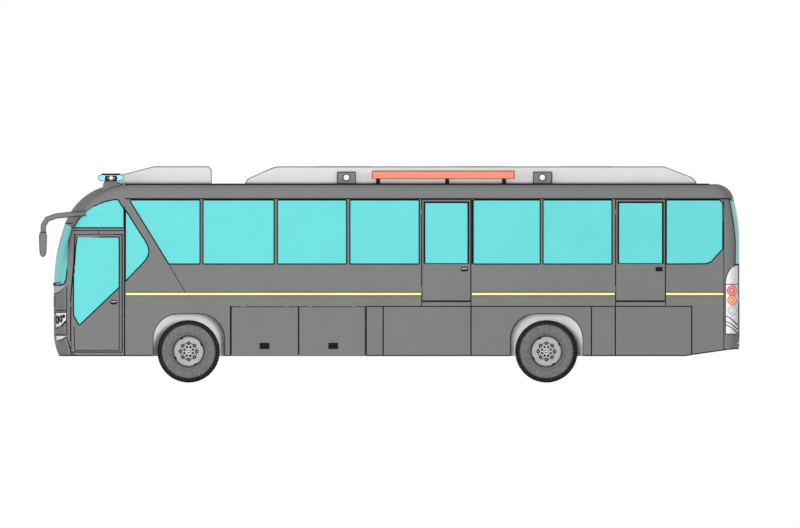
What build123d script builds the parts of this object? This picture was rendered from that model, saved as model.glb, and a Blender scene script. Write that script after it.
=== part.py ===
from build123d import *
from math import sin, cos, radians, sqrt
import os

# Airport passenger bus, twelve metre class, passenger doors on its left side.
# X runs from the front (-X) to the rear, Y across, Z up, in millimetres.
# The ground is Z = 0 and the box of the whole bus is centred on X = 0, Y = 0.

os.makedirs("parts", exist_ok=True)

# Body shell
body_width = 2500.0
half = body_width / 2
front_x = -5588.0
rear_x = 5837.0
sill_z = 443.0
roof_z = 3310.0
wall = 50.0
glass_t = 8.0
seam = 12.0
lap = 35.0
nose_depth = 190.324
tail_depth = 87.228
front_bow = (half ** 2 + nose_depth ** 2) / (2 * nose_depth)
rear_bow = (half ** 2 + tail_depth ** 2) / (2 * tail_depth)
edge_round = 150.0
cantrail_z = 3057.0
nose_seam_x = -4410.0
tail_seam_x = 5577.0
window_low_z = 1978.0
window_top_z = cantrail_z - 12
floor_t = 40.0
cab_z = 940.0

# Wheels and axles
tyre_r = 522.0
tyre_w = 295.0
rim_r = 265.0
front_axle_x = -3343.0
rear_axle_x = 2620.0
wheel_z = tyre_r
track_y = half - 172.5
twin_gap = 345.0
kingpin_y = track_y - 37.5
kingpin_r = 25.0
stub_r = 60.0
running_gap = 0.05
arch_top_z = 2 * tyre_r + 98.0
arch_corner = 413.0
liner_t = 10.0

# The belt and the passenger floor lie over the wheel arches.
belt_z = arch_top_z + 130.0
floor_z = arch_top_z + 188.0

arches = [
    dict(name="front", front=front_axle_x - tyre_r - 62.0, rear=front_axle_x + tyre_r + 76.0),
    dict(name="rear", front=rear_axle_x - tyre_r - 75.0, rear=rear_axle_x + tyre_r + 80.0),
]
bay_front = arches[0]["rear"] + 108.0
bay_rear = -392.0
sides = [dict(name="left", sign=-1), dict(name="right", sign=1)]


def span(x0, x1, z0, z1):
    return [(x0, z0), (x1, z0), (x1, z1), (x0, z1)]


def save(builder, label):
    builder.part.label = label
    export_step(builder.part, "parts/" + label + ".step")


# The nose is a side profile turned about a far vertical axis, so that it bows
# out in plan, and the tail is the same with a flatter bow.
def nose(inset, low):
    r_low, z_low = 1000.0, 850.0
    r_mid, z_mid, lean = 3085.0, 1600.0, radians(20)
    r_top = (roof_z - z_mid - r_mid * sin(lean)) / (1 - sin(lean))
    axis_x = front_x + front_bow
    x_mid = front_x + r_mid
    x_top = x_mid - (r_mid - r_top) * cos(lean)
    r_in = r_mid - inset
    bend = (x_mid - r_in * cos(lean), z_mid + r_in * sin(lean))
    foot_x = front_x + r_low - sqrt((r_low - inset) ** 2 - (z_low - low) ** 2)
    top = roof_z - inset
    with BuildPart() as drum:
        with BuildSketch(Plane.XZ):
            with BuildLine():
                Line((axis_x, low), (foot_x, low))
                TangentArc((front_x + inset, z_low), (foot_x, low), tangent=(0, -1))
                Line((front_x + inset, z_low), (front_x + inset, z_mid))
                TangentArc((front_x + inset, z_mid), bend, tangent=(0, 1))
                TangentArc(bend, (x_top, top), tangent=(sin(lean), cos(lean)))
                Polyline((x_top, top), (axis_x, top), (axis_x, low))
            make_face()
        revolve(axis=Axis((axis_x, 0, 0), (0, 0, 1)))
        with BuildSketch(Plane.XZ):
            Polygon(*span(-7000, -1000, low, top), align=None)
        extrude(amount=4000, both=True, mode=Mode.INTERSECT)
    return drum.part


def tail(inset, low):
    r_mid, z_mid, lean = 2860.0, 2330.0, radians(15.2)
    r_top = (roof_z - z_mid - r_mid * sin(lean)) / (1 - sin(lean))
    axis_x = rear_x - rear_bow
    x_mid = rear_x - r_mid
    x_top = x_mid + (r_mid - r_top) * cos(lean)
    r_in = r_mid - inset
    bend = (x_mid + r_in * cos(lean), z_mid + r_in * sin(lean))
    top = roof_z - inset
    with BuildPart() as drum:
        with BuildSketch(Plane.XZ):
            with BuildLine():
                Polyline((axis_x, low), (rear_x - inset, low), (rear_x - inset, z_mid))
                TangentArc((rear_x - inset, z_mid), bend, tangent=(0, 1))
                TangentArc(bend, (x_top, top), tangent=(-sin(lean), cos(lean)))
                Polyline((x_top, top), (axis_x, top), (axis_x, low))
            make_face()
        revolve(axis=Axis((axis_x, 0, 0), (0, 0, 1)))
        with BuildSketch(Plane.XZ):
            Polygon(*span(1000, 7000, low, top), align=None)
        extrude(amount=4000, both=True, mode=Mode.INTERSECT)
    return drum.part


# One closed block of the body's outer form, smaller all round by the inset.
def hull(inset, low=sill_z):
    drum_front = nose(inset, low)
    drum_rear = tail(inset, low)
    edge = half - inset
    top = roof_z - inset
    with BuildPart() as block:
        with Locations((0, 0, (low + top) / 2)):
            Box(3000, 5000, top - low)
        add(drum_front)
        add(drum_rear)
        with Locations((0, 0, (low + top) / 2)):
            Box(14000, 2 * edge, top - low, mode=Mode.INTERSECT)
        rim_line = [e for e in block.edges()
                    if abs(abs(e.center().Y) - edge) < 1 and e.center().Z > low + 1]
        fillet(rim_line, edge_round - inset)
    return block.part


def layer(outer, inner):
    with BuildPart() as skin:
        add(outer)
        add(inner, mode=Mode.SUBTRACT)
    return skin.part


# Hinges: each axis lies on the outer face in the middle of a seam. The moving
# panel has a lug around the pin, and the body carries the pin in two lugs.
hinge_r = 5.0
pin_r = 3.0
lug_half = 40.0


def lug(origin, along, toward, reach, near, far, hollow):
    plane = Plane(origin=origin, x_dir=toward, z_dir=along)
    with BuildPart() as piece:
        with BuildSketch(plane.offset(near)):
            Circle(hinge_r)
            Polygon(*span(0, reach, -hinge_r, hinge_r), align=None)
            if hollow:
                Circle(pin_r + running_gap, mode=Mode.SUBTRACT)
        extrude(amount=far - near)
    return piece.part


def moving_lug(origin, along, toward):
    return lug(origin, along, toward, seam / 2 + 2, -lug_half, lug_half, True)


def fixed_hinge(origin, along, toward):
    back = tuple(-v for v in toward)
    low_lug = lug(origin, along, back, seam / 2, -lug_half - 31, -lug_half - 1, False)
    high_lug = lug(origin, along, back, seam / 2, lug_half + 1, lug_half + 31, False)
    with BuildPart() as piece:
        add(low_lug)
        add(high_lug)
        with BuildSketch(Plane(origin=origin, x_dir=toward, z_dir=along).offset(-lug_half - 5)):
            Circle(pin_r)
        extrude(amount=2 * lug_half + 10)
    return piece.part


hinges = []

hull_outer = hull(0)
hull_inner = hull(wall, sill_z - 60)
hull_glass = hull(glass_t, sill_z - 60)
shell = layer(hull_outer, hull_inner)
skin = layer(hull_outer, hull_glass)

# Outlines in the side view. The rear overhang rises behind the last wheel.
tail_rise = [(4947, 443), (5055, 462), (5575, 537), (5777, 560), (5829, 600),
             (6400, 600), (6400, 300), (4947, 300)]
windscreen_edge = [(-6500, 1622), (-5589, 1622), (-5424, 1642), (-5388, 1720), (-5375, 1825),
                   (-5345, 2353), (-5280, 2588), (-5404, 2657), (-6500, 2657)]
rear_window_edge = [(7000, 3045), (5676, 3045), (5707, 2843), (5745, 2615), (5773, 2373),
                    (5770, 1972), (7000, 1972)]
quarter_light = [(-5263, 2582), (-5180, 2715), (-5040, 2862), (-4913, 2945), (-4747, 3015),
                 (-4593, 3050), (-4520, 3050), (-4440, 2918), (-4440, 2582)]
nose_light = [(-4397, 2882), (-4045, 2332), (-3995, 2203), (-4072, 2027), (-4397, 1688)]
first_light = [(-4330, window_top_z), (-3673, window_low_z), (-3152, window_low_z),
               (-3152, window_top_z)]
last_light = [(4618, window_low_z), (5275, 1982), (5362, 2010), (5560, 2230), (5560, 2995),
              (5510, window_top_z), (4618, window_top_z)]
driver_light = [(-5215, 2430), (-4500, 2430), (-4500, 1600), (-5260, 1600)]
front_door_edge = [(-5312, 505), (-4447, 505), (-4447, 2472), (-5243, 2472), (-5260, 2000),
                   (-5312, 1400)]
front_door_light = [(-5200, 2428), (-4499, 2428), (-4499, 1590), (-5168, 952), (-5260, 1125),
                    (-5263, 1660), (-5227, 2248)]

# The emergency doors stand over the passenger floor.
emergency_doors = [
    dict(name="mid", front=540.0, rear=1365.0, low=floor_z + 20.0, top=cantrail_z - 6.0),
    dict(name="rear", front=3770.0, rear=4607.0, low=floor_z + 20.0, top=cantrail_z - 6.0),
]
main_lights = [
    dict(front=-3103.0, rear=-1917.0),
    dict(front=-1863.0, rear=-710.0),
    dict(front=-655.0, rear=500.0),
    dict(front=1400.0, rear=2517.0),
    dict(front=2565.0, rear=3713.0),
]
door_lights = [
    dict(front=545.0, rear=1352.0),
    dict(front=3770.0, rear=4570.0),
]


def light_outlines(side):
    rows = main_lights + (door_lights if side["name"] == "right" else [])
    panes = [span(p["front"], p["rear"], window_low_z, window_top_z) for p in rows]
    return [nose_light, first_light] + panes + [last_light]


# Sides: flat plates from the nose seam to the tail seam, with the glass let
# into a rebate so that it stands flush.
for side in sides:
    face = Plane.XZ.offset(-side["sign"] * half)
    inward = side["sign"]
    with BuildPart() as panel:
        with BuildSketch(face):
            Polygon((nose_seam_x + 6, sill_z), (bay_front - 6, sill_z), (bay_front - 6, belt_z + 6),
                    (5048, belt_z + 6), (5048, sill_z), (tail_seam_x - 6, sill_z),
                    (tail_seam_x - 6, cantrail_z - 6), (nose_seam_x + 6, cantrail_z - 6),
                    align=None)
            Polygon(*tail_rise, align=None, mode=Mode.SUBTRACT)
        extrude(amount=inward * wall)
        with BuildSketch(face):
            Polygon(*span(arches[0]["front"], arches[0]["rear"], 300, arch_top_z), align=None)
            fillet(vertices().group_by(Axis.Y)[-1], arch_corner)
        extrude(amount=inward * wall, mode=Mode.SUBTRACT)
        for outline in light_outlines(side):
            with BuildSketch(face):
                Polygon(*outline, align=None)
            extrude(amount=inward * glass_t, mode=Mode.SUBTRACT)
            with BuildSketch(face):
                Polygon(*outline, align=None)
                offset(amount=-lap, kind=Kind.INTERSECTION, mode=Mode.REPLACE)
            extrude(amount=inward * wall, mode=Mode.SUBTRACT)
        if side["name"] == "left":
            for door in emergency_doors:
                with BuildSketch(face):
                    Polygon(*span(door["front"] - 6, door["rear"] + 6, door["low"] - 6,
                                  door["top"] + 20), align=None)
                extrude(amount=inward * wall, mode=Mode.SUBTRACT)
        add(hull_outer, mode=Mode.INTERSECT)
    save(panel, side["name"] + "_side")

    with BuildPart() as panes:
        for outline in light_outlines(side):
            with BuildSketch(face):
                Polygon(*outline, align=None)
                offset(amount=-2, kind=Kind.INTERSECTION, mode=Mode.REPLACE)
            extrude(amount=inward * glass_t)
    save(panes, side["name"] + "_windows")

# Lower panels between the luggage flaps and the tail, alike on both sides.
skirt_runs = [
    dict(front=bay_rear, rear=-100.0),
    dict(front=-100.0, rear=1363.0),
    dict(front=1363.0, rear=3370.0),
    dict(front=3370.0, rear=3768.0),
    dict(front=3768.0, rear=5042.0),
]
with BuildPart() as skirts:
    for side in sides:
        face = Plane.XZ.offset(-side["sign"] * half)
        with BuildSketch(face):
            for run in skirt_runs:
                Polygon(*span(run["front"] + 6, run["rear"] - 6, sill_z, belt_z - 6), align=None)
            Polygon(*tail_rise, align=None, mode=Mode.SUBTRACT)
        extrude(amount=side["sign"] * wall)
    with BuildSketch(Plane.XZ):
        Polygon(*span(arches[1]["front"], arches[1]["rear"], 300, arch_top_z), align=None)
        fillet(vertices().group_by(Axis.Y)[-1], arch_corner)
    extrude(amount=half + 10, both=True, mode=Mode.SUBTRACT)
save(skirts, "skirt_panels")

# Luggage flaps, two on each side, hinged along their top edges.
flap_runs = [
    dict(name="front", front=bay_front, rear=-1510.0, handle=-2078.0),
    dict(name="rear", front=-1510.0, rear=bay_rear, handle=-933.0),
]
for side in sides:
    face = Plane.XZ.offset(-side["sign"] * half)
    for run in flap_runs:
        spots = [(x, side["sign"] * half, belt_z) for x in (run["front"] + 200, run["rear"] - 200)]
        hinges += [(spot, (1, 0, 0), (0, 0, -1)) for spot in spots]
        lugs = [moving_lug(spot, (1, 0, 0), (0, 0, -1)) for spot in spots]
        with BuildPart() as flap:
            with BuildSketch(face):
                Polygon(*span(run["front"] + 6, run["rear"] - 6, sill_z, belt_z - 6), align=None)
            extrude(amount=side["sign"] * 40)
            with BuildSketch(face):
                Polygon(*span(run["handle"] - 83, run["handle"] + 83, 560, 666), align=None)
            extrude(amount=side["sign"] * 12, mode=Mode.SUBTRACT)
            add(lugs)
        save(flap, "luggage_flap_" + side["name"] + "_" + run["name"])

# Emergency doors on the left, with their glass.
left_face = Plane.XZ.offset(half)
for door in emergency_doors:
    glazing = span(door["front"] + 55, door["rear"] - 48, window_low_z + 7, door["top"] - 38)
    spots = [(door["front"], -half, z) for z in (1560, 2840)]
    hinges += [(spot, (0, 0, 1), (1, 0, 0)) for spot in spots]
    lugs = [moving_lug(spot, (0, 0, 1), (1, 0, 0)) for spot in spots]
    with BuildPart() as leaf:
        with BuildSketch(left_face):
            Polygon(*span(door["front"] + 6, door["rear"] - 6, door["low"] + 6, door["top"]),
                    align=None)
        extrude(amount=-wall)
        with BuildSketch(left_face):
            Polygon(*glazing, align=None)
        extrude(amount=-glass_t, mode=Mode.SUBTRACT)
        with BuildSketch(left_face):
            Polygon(*glazing, align=None)
            offset(amount=-lap, kind=Kind.INTERSECTION, mode=Mode.REPLACE)
        extrude(amount=-wall, mode=Mode.SUBTRACT)
        with BuildSketch(left_face):
            Polygon(*span(door["rear"] - 168, door["rear"] - 51, 1855, 1930), align=None)
        extrude(amount=-12, mode=Mode.SUBTRACT)
        add(lugs)
    save(leaf, door["name"] + "_door")
    with BuildPart() as pane:
        with BuildSketch(left_face):
            Polygon(*glazing, align=None)
            offset(amount=-2, kind=Kind.INTERSECTION, mode=Mode.REPLACE)
        extrude(amount=-glass_t)
    save(pane, door["name"] + "_door_glass")

# Front door: a piece of the shell itself, so it follows the corner of the nose.
with BuildPart() as front_door:
    with BuildSketch(Plane.XZ):
        Polygon(*front_door_edge, align=None)
        offset(amount=-6, kind=Kind.INTERSECTION, mode=Mode.REPLACE)
    extrude(amount=half + 50)
    add(shell, mode=Mode.INTERSECT)
    with BuildSketch(Plane.XZ):
        Polygon(*front_door_light, align=None)
        offset(amount=-lap, kind=Kind.INTERSECTION, mode=Mode.REPLACE)
    extrude(amount=half + 50, mode=Mode.SUBTRACT)
    with BuildSketch(left_face):
        Polygon(*span(-4648, -4532, 1305, 1380), align=None)
    extrude(amount=-12, mode=Mode.SUBTRACT)
with BuildPart() as front_door_rebate:
    with BuildSketch(Plane.XZ):
        Polygon(*front_door_light, align=None)
    extrude(amount=half + 50)
    add(skin, mode=Mode.INTERSECT)
spots = [(-5312, -half, z) for z in (640, 1300)]
hinges += [(spot, (0, 0, 1), (1, 0, 0)) for spot in spots]
lugs = [moving_lug(spot, (0, 0, 1), (1, 0, 0)) for spot in spots]
with BuildPart() as front_door_cut:
    add(front_door.part)
    add(front_door_rebate.part, mode=Mode.SUBTRACT)
    add(lugs)
save(front_door_cut, "front_door")
with BuildPart() as front_door_glass:
    with BuildSketch(Plane.XZ):
        Polygon(*front_door_light, align=None)
        offset(amount=-2, kind=Kind.INTERSECTION, mode=Mode.REPLACE)
    extrude(amount=half + 50)
    add(skin, mode=Mode.INTERSECT)
save(front_door_glass, "front_door_glass")

# Nose: one moulding from the bumper to the roof brow.
headlamp_edge = [(-6400, 898), (-5560, 898), (-5470, 925), (-5375, 1025), (-5375, 1162),
                 (-6400, 1162)]
fog_lamp_edge = [(-6400, 687), (-5530, 690), (-5375, 760), (-5375, 787), (-6400, 787)]
lamp_inner_y = 560.0
tow_z = 600.0
tow_outer_r = 42.0
tow_r = 20.0
with BuildPart() as lamp_blocks:
    with BuildSketch(Plane.XZ):
        Polygon(*headlamp_edge, align=None)
        Polygon(*fog_lamp_edge, align=None)
    extrude(amount=half + 50, both=True)
    with Locations((-5600, 0, 900)):
        Box(1600, 2 * lamp_inner_y, 1200, mode=Mode.SUBTRACT)
with BuildPart() as nose_rebates:
    with BuildSketch(Plane.XZ):
        Polygon(*windscreen_edge, align=None)
        Polygon(*quarter_light, align=None)
    extrude(amount=half + 50, both=True)
    with BuildSketch(Plane.XZ):
        Polygon(*driver_light, align=None)
    extrude(amount=-half - 50)
    add(skin, mode=Mode.INTERSECT)
with BuildPart() as front_cap:
    with BuildSketch(Plane.XZ):
        Polygon(*span(-6500, nose_seam_x - 6, 300, 3500), align=None)
    extrude(amount=half + 50, both=True)
    add(shell, mode=Mode.INTERSECT)
    add(nose_rebates.part, mode=Mode.SUBTRACT)
    with BuildSketch(Plane.XZ):
        Polygon(*windscreen_edge, align=None)
        offset(amount=-lap, kind=Kind.INTERSECTION, mode=Mode.REPLACE)
    extrude(amount=half + 50, both=True, mode=Mode.SUBTRACT)
    with BuildSketch(Plane.XZ):
        Polygon(*quarter_light, align=None)
        offset(amount=-lap, kind=Kind.INTERSECTION, mode=Mode.REPLACE)
    extrude(amount=half + 50, both=True, mode=Mode.SUBTRACT)
    with BuildSketch(Plane.XZ):
        Polygon(*driver_light, align=None)
        offset(amount=-lap, kind=Kind.INTERSECTION, mode=Mode.REPLACE)
    extrude(amount=-half - 50, mode=Mode.SUBTRACT)
    with BuildSketch(Plane.XZ):
        Polygon(*front_door_edge, align=None)
        offset(amount=6, kind=Kind.INTERSECTION, mode=Mode.REPLACE)
    extrude(amount=half + 50, mode=Mode.SUBTRACT)
    add(lamp_blocks.part, mode=Mode.SUBTRACT)
    with BuildSketch(Plane.YZ):
        with Locations((0, tow_z)):
            Circle(tow_outer_r + 6)
    extrude(amount=-6500, mode=Mode.SUBTRACT)
save(front_cap, "front_cap")

with BuildPart() as windscreen:
    with BuildSketch(Plane.XZ):
        Polygon(*windscreen_edge, align=None)
        offset(amount=-2, kind=Kind.INTERSECTION, mode=Mode.REPLACE)
    extrude(amount=half + 50, both=True)
    add(skin, mode=Mode.INTERSECT)
save(windscreen, "windscreen")

with BuildPart() as cab_windows:
    with BuildSketch(Plane.XZ):
        Polygon(*quarter_light, align=None)
        offset(amount=-2, kind=Kind.INTERSECTION, mode=Mode.REPLACE)
    extrude(amount=half + 50, both=True)
    with BuildSketch(Plane.XZ):
        Polygon(*driver_light, align=None)
        offset(amount=-2, kind=Kind.INTERSECTION, mode=Mode.REPLACE)
    extrude(amount=-half - 50)
    add(skin, mode=Mode.INTERSECT)
save(cab_windows, "cab_windows")

with BuildPart() as headlamps:
    with BuildSketch(Plane.XZ):
        Polygon(*headlamp_edge, align=None)
    extrude(amount=half + 50, both=True)
    with BuildSketch(Plane.XZ):
        Polygon(*fog_lamp_edge, align=None)
    extrude(amount=half + 50, both=True)
    with Locations((-5600, 0, 900)):
        Box(1600, 2 * lamp_inner_y, 1200, mode=Mode.SUBTRACT)
    add(shell, mode=Mode.INTERSECT)
save(headlamps, "headlamps")

# Tail: moulding with the rear window, the engine lid and the corner lamps.
lid_half = half - 550.0
lid_low, lid_top = 660.0, 1400.0
lamp_front_x = 5605.0
lamp_side_y = half - 250.0
tail_lamps = [
    dict(name="tail_lamps_clear", low=807.0, top=1120.0),
    dict(name="tail_lamps_clear", low=1120.0, top=1280.0),
    dict(name="tail_lamps_amber", low=1280.0, top=1455.0),
    dict(name="tail_lamps_red", low=1455.0, top=1637.0),
    dict(name="tail_lamps_clear", low=1637.0, top=1960.0),
]
lamp_hole_low, lamp_hole_top = tail_lamps[0]["low"], tail_lamps[-1]["top"]
with BuildPart() as rear_rebate:
    with BuildSketch(Plane.XZ):
        Polygon(*rear_window_edge, align=None)
    extrude(amount=half + 50, both=True)
    add(skin, mode=Mode.INTERSECT)
with BuildPart() as rear_cap:
    with BuildSketch(Plane.XZ):
        Polygon(*span(tail_seam_x + 6, 6400, 300, cantrail_z - 6), align=None)
        Polygon(*tail_rise, align=None, mode=Mode.SUBTRACT)
    extrude(amount=half + 50, both=True)
    add(shell, mode=Mode.INTERSECT)
    add(rear_rebate.part, mode=Mode.SUBTRACT)
    with BuildSketch(Plane.XZ):
        Polygon(*rear_window_edge, align=None)
        offset(amount=-lap, kind=Kind.INTERSECTION, mode=Mode.REPLACE)
    extrude(amount=half + 50, both=True, mode=Mode.SUBTRACT)
    for side in sides:
        with Locations((lamp_front_x + 400, side["sign"] * (lamp_side_y + 200),
                        (lamp_hole_low + lamp_hole_top) / 2)):
            Box(800, 400, lamp_hole_top - lamp_hole_low, mode=Mode.SUBTRACT)
    with BuildSketch(Plane.YZ):
        Polygon(*span(-lid_half - 6, lid_half + 6, lid_low - 6, lid_top + 6), align=None)
        with Locations((0, tow_z)):
            Circle(tow_outer_r + 6)
    extrude(amount=6500, mode=Mode.SUBTRACT)
save(rear_cap, "rear_cap")

with BuildPart() as rear_window:
    with BuildSketch(Plane.XZ):
        Polygon(*rear_window_edge, align=None)
        offset(amount=-2, kind=Kind.INTERSECTION, mode=Mode.REPLACE)
    extrude(amount=half + 50, both=True)
    add(skin, mode=Mode.INTERSECT)
save(rear_window, "rear_window")

spots = [(rear_x, y, lid_top) for y in (-220, 220)]
hinges += [(spot, (0, 1, 0), (0, 0, -1)) for spot in spots]
lugs = [moving_lug(spot, (0, 1, 0), (0, 0, -1)) for spot in spots]
with BuildPart() as engine_lid:
    with BuildSketch(Plane.YZ):
        Polygon(*span(-lid_half + 6, lid_half - 6, lid_low + 6, lid_top - 6), align=None)
    extrude(amount=6500)
    add(shell, mode=Mode.INTERSECT)
    add(lugs)
save(engine_lid, "engine_lid")

fixed = [fixed_hinge(*place) for place in hinges]
with BuildPart() as hinge_pins:
    add(fixed)
save(hinge_pins, "hinges")

for name in ("tail_lamps_clear", "tail_lamps_amber", "tail_lamps_red"):
    with BuildPart() as lamps:
        for lamp in [row for row in tail_lamps if row["name"] == name]:
            for side in sides:
                middle = (lamp["low"] + lamp["top"]) / 2
                with Locations((lamp_front_x + 400, side["sign"] * (lamp_side_y + 200), middle)):
                    Box(800, 400, lamp["top"] - lamp["low"])
        add(shell, mode=Mode.INTERSECT)
    save(lamps, name)

# Roof skin behind the nose: two outer strips and a middle one, jointed lengthwise
# under the pods, and the middle of the rear dome jointed across.
roof_joint = 2.0
roof_joint_y = 0.32 * half
dome_joint_x = rear_x - 295.0
with BuildPart() as roof:
    with BuildSketch(Plane.XZ):
        Polygon(*span(nose_seam_x + 6, 6400, cantrail_z + 6, 3500), align=None)
    extrude(amount=half + 50, both=True)
    add(shell, mode=Mode.INTERSECT)
    for side in sides:
        with Locations((0, side["sign"] * roof_joint_y, roof_z)):
            Box(14000, roof_joint, 1000, mode=Mode.SUBTRACT)
    with Locations((dome_joint_x, 0, roof_z)):
        Box(roof_joint, 2 * roof_joint_y, 1000, mode=Mode.SUBTRACT)
save(roof, "roof")

# Floors: entry tread, two steps, cab platform, aisle step, passenger floor.
cab_rear_x = -4200.0
well_rear_x = -4440.0
tread_front_x = -5230.0
first_riser_y = -half + 350
second_riser_y = -half + 650
aisle_half = 320.0
aisle_step_z = (cab_z + floor_z) / 2 - 40
with BuildPart() as floor:
    with BuildSketch(Plane.XY.offset(500)):
        Polygon(*span(tread_front_x, well_rear_x, -half + 60, first_riser_y), align=None)
    extrude(amount=40)
    with BuildSketch(Plane.XY.offset(500)):
        Polygon(*span(-5600, well_rear_x, first_riser_y, first_riser_y + 40), align=None)
    extrude(amount=240)
    with BuildSketch(Plane.XY.offset(700)):
        Polygon(*span(-5600, well_rear_x, first_riser_y, second_riser_y), align=None)
    extrude(amount=40)
    with BuildSketch(Plane.XY.offset(700)):
        Polygon(*span(-5600, cab_rear_x, second_riser_y, second_riser_y + 40), align=None)
    extrude(amount=240)
    with BuildSketch(Plane.XY.offset(cab_z - 40)):
        Polygon(*span(-5600, cab_rear_x, second_riser_y, half + 50), align=None)
    extrude(amount=40)
    with BuildSketch(Plane.XY.offset(500)):
        Polygon(*span(well_rear_x, well_rear_x + 40, -half - 50, second_riser_y + 40), align=None)
    extrude(amount=cab_z - 500)
    with BuildSketch(Plane.XY.offset(cab_z - 40)):
        Polygon(*span(well_rear_x, cab_rear_x, -half - 50, second_riser_y), align=None)
    extrude(amount=40)
    with BuildSketch(Plane.XY.offset(cab_z - 40)):
        Polygon(*span(cab_rear_x, cab_rear_x + 40, -half - 50, half + 50), align=None)
    extrude(amount=floor_z - cab_z + 40)
    with BuildSketch(Plane.XY.offset(floor_z - floor_t)):
        Polygon(*span(cab_rear_x, 6400, -half - 50, half + 50), align=None)
    extrude(amount=floor_t)
    with Locations((cab_rear_x + 120, 0, floor_z - 100)):
        Box(260, 2 * aisle_half, 210, mode=Mode.SUBTRACT)
    far = aisle_half + 40
    with BuildSketch(Plane.XY.offset(aisle_step_z)):
        Polygon(*span(cab_rear_x, cab_rear_x + 290, -far, far), align=None)
    extrude(amount=40)
    with BuildSketch(Plane.XY.offset(aisle_step_z)):
        Polygon(*span(cab_rear_x + 250, cab_rear_x + 290, -far, far), align=None)
        Polygon(*span(cab_rear_x, cab_rear_x + 290, -far, -aisle_half), align=None)
        Polygon(*span(cab_rear_x, cab_rear_x + 290, aisle_half, far), align=None)
    extrude(amount=floor_z - aisle_step_z)
    add(hull_inner, mode=Mode.INTERSECT)
save(floor, "floor")

# Luggage bay: floor tray and two bulkheads under the passenger floor.
with BuildPart() as bay:
    with BuildSketch(Plane.XY.offset(sill_z + 7)):
        Polygon(*span(bay_front - 25, bay_rear + 25, -half + wall, half - wall), align=None)
    extrude(amount=30)
    with BuildSketch(Plane.XY.offset(sill_z + 7)):
        Polygon(*span(bay_front - 25, bay_front, -half + wall, half - wall), align=None)
        Polygon(*span(bay_rear, bay_rear + 25, -half + wall, half - wall), align=None)
    extrude(amount=floor_z - floor_t - sill_z - 7)
save(bay, "luggage_bay")

# Chassis: two rails under the front and two under the rear, each its own box.
rail_y, rail_w, rail_low, rail_top = half - 780.0, 80.0, 700.0, 860.0
front_rail = (-5250.0, bay_front - 25)
rear_rail = (bay_rear + 25, 5620.0)
with BuildPart() as rails:
    for low_x, high_x in (front_rail, rear_rail):
        with BuildSketch(Plane.XY.offset(rail_low)):
            for sign in (-1, 1):
                near = sign * (rail_y - rail_w / 2)
                far = sign * (rail_y + rail_w / 2)
                Polygon((low_x, near), (high_x, near), (high_x, far), (low_x, far), align=None)
        extrude(amount=rail_top - rail_low)
save(rails, "chassis_rails")

# Cross members between the rails with a drop plate at each end, outriggers from
# the rails to the skirts and four pads for a jack under the rails.
cross_members = [-5220.0, -4600.0, bay_front - 65, bay_rear + 65, 1200.0, 3700.0, 4560.0, 5590.0]
drop_plates = [-5220.0, 5590.0]
outriggers = [-246.0, 630.0, 1700.0, 3569.0, 4400.0]
jack_pads = [-4300.0, 1000.0]
rail_gap = 2 * rail_y - rail_w
rail_far = rail_y + rail_w / 2
arm = half - wall - rail_far
with BuildPart() as members:
    with Locations(*[(x, 0, (rail_low + rail_top) / 2) for x in cross_members]):
        Box(60, rail_gap, 110)
    with Locations(*[(x, s * (rail_far + arm / 2), 760) for x in outriggers for s in (-1, 1)]):
        Box(50, arm, 90)
    with Locations(*[(x, s * rail_y, rail_low - 20) for x in jack_pads for s in (-1, 1)]):
        Box(160, 100, 40)
    with Locations(*[(x, 0, 637.5) for x in drop_plates]):
        Box(60, 240, 175)
save(members, "cross_members")

# Tow sockets: a tube against the drop plate at each end.
tow_tubes = [dict(low=-5550.0, length=300.0), dict(low=5620.0, length=205.0)]
with BuildPart() as tow:
    for tube in tow_tubes:
        with BuildSketch(Plane.YZ.offset(tube["low"])):
            with Locations((0, tow_z)):
                Circle(tow_outer_r)
                Circle(tow_r, mode=Mode.SUBTRACT)
        extrude(amount=tube["length"])
save(tow, "tow_sockets")

# Wheel housings: an arch strip and an inner wall over each wheel.
with BuildPart() as housings:
    for arch in arches:
        deep = half - 660 if arch["name"] == "front" else half - 710
        middle = front_axle_x if arch["name"] == "front" else rear_axle_x
        for side in sides:
            far = Plane.XZ.offset(-side["sign"] * (half - wall))
            near = Plane.XZ.offset(-side["sign"] * deep)
            reach = side["sign"] * (half - wall - deep)
            with BuildSketch(far):
                Polygon(*span(arch["front"] - liner_t, arch["rear"] + liner_t, sill_z,
                              arch_top_z + liner_t), align=None)
                fillet(vertices().group_by(Axis.Y)[-1], arch_corner + liner_t)
            extrude(amount=reach)
            with BuildSketch(far):
                Polygon(*span(arch["front"], arch["rear"], 300, arch_top_z), align=None)
                fillet(vertices().group_by(Axis.Y)[-1], arch_corner)
            extrude(amount=reach - side["sign"] * liner_t, mode=Mode.SUBTRACT)
            with BuildSketch(near):
                Polygon(*span(middle - 150, middle + 150, 300, wheel_z + 238), align=None)
            extrude(amount=-side["sign"] * 60, mode=Mode.SUBTRACT)
save(housings, "wheel_housings")

# Front axle: beam with a fist and a kingpin at each end, and two air springs.
with BuildPart() as front_axle:
    with Locations((front_axle_x, 0, wheel_z)):
        Box(90, 2 * kingpin_y, 90)
    for side in sides:
        y = side["sign"] * kingpin_y
        with Locations((front_axle_x, y, wheel_z)):
            Cylinder(48, 110)
            Cylinder(kingpin_r, 250)
        with BuildSketch(Plane.XY.offset(wheel_z + 45)):
            with Locations((front_axle_x, side["sign"] * rail_y)):
                Circle(100)
        extrude(amount=rail_low - wheel_z - 45)
save(front_axle, "front_axle")

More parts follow.
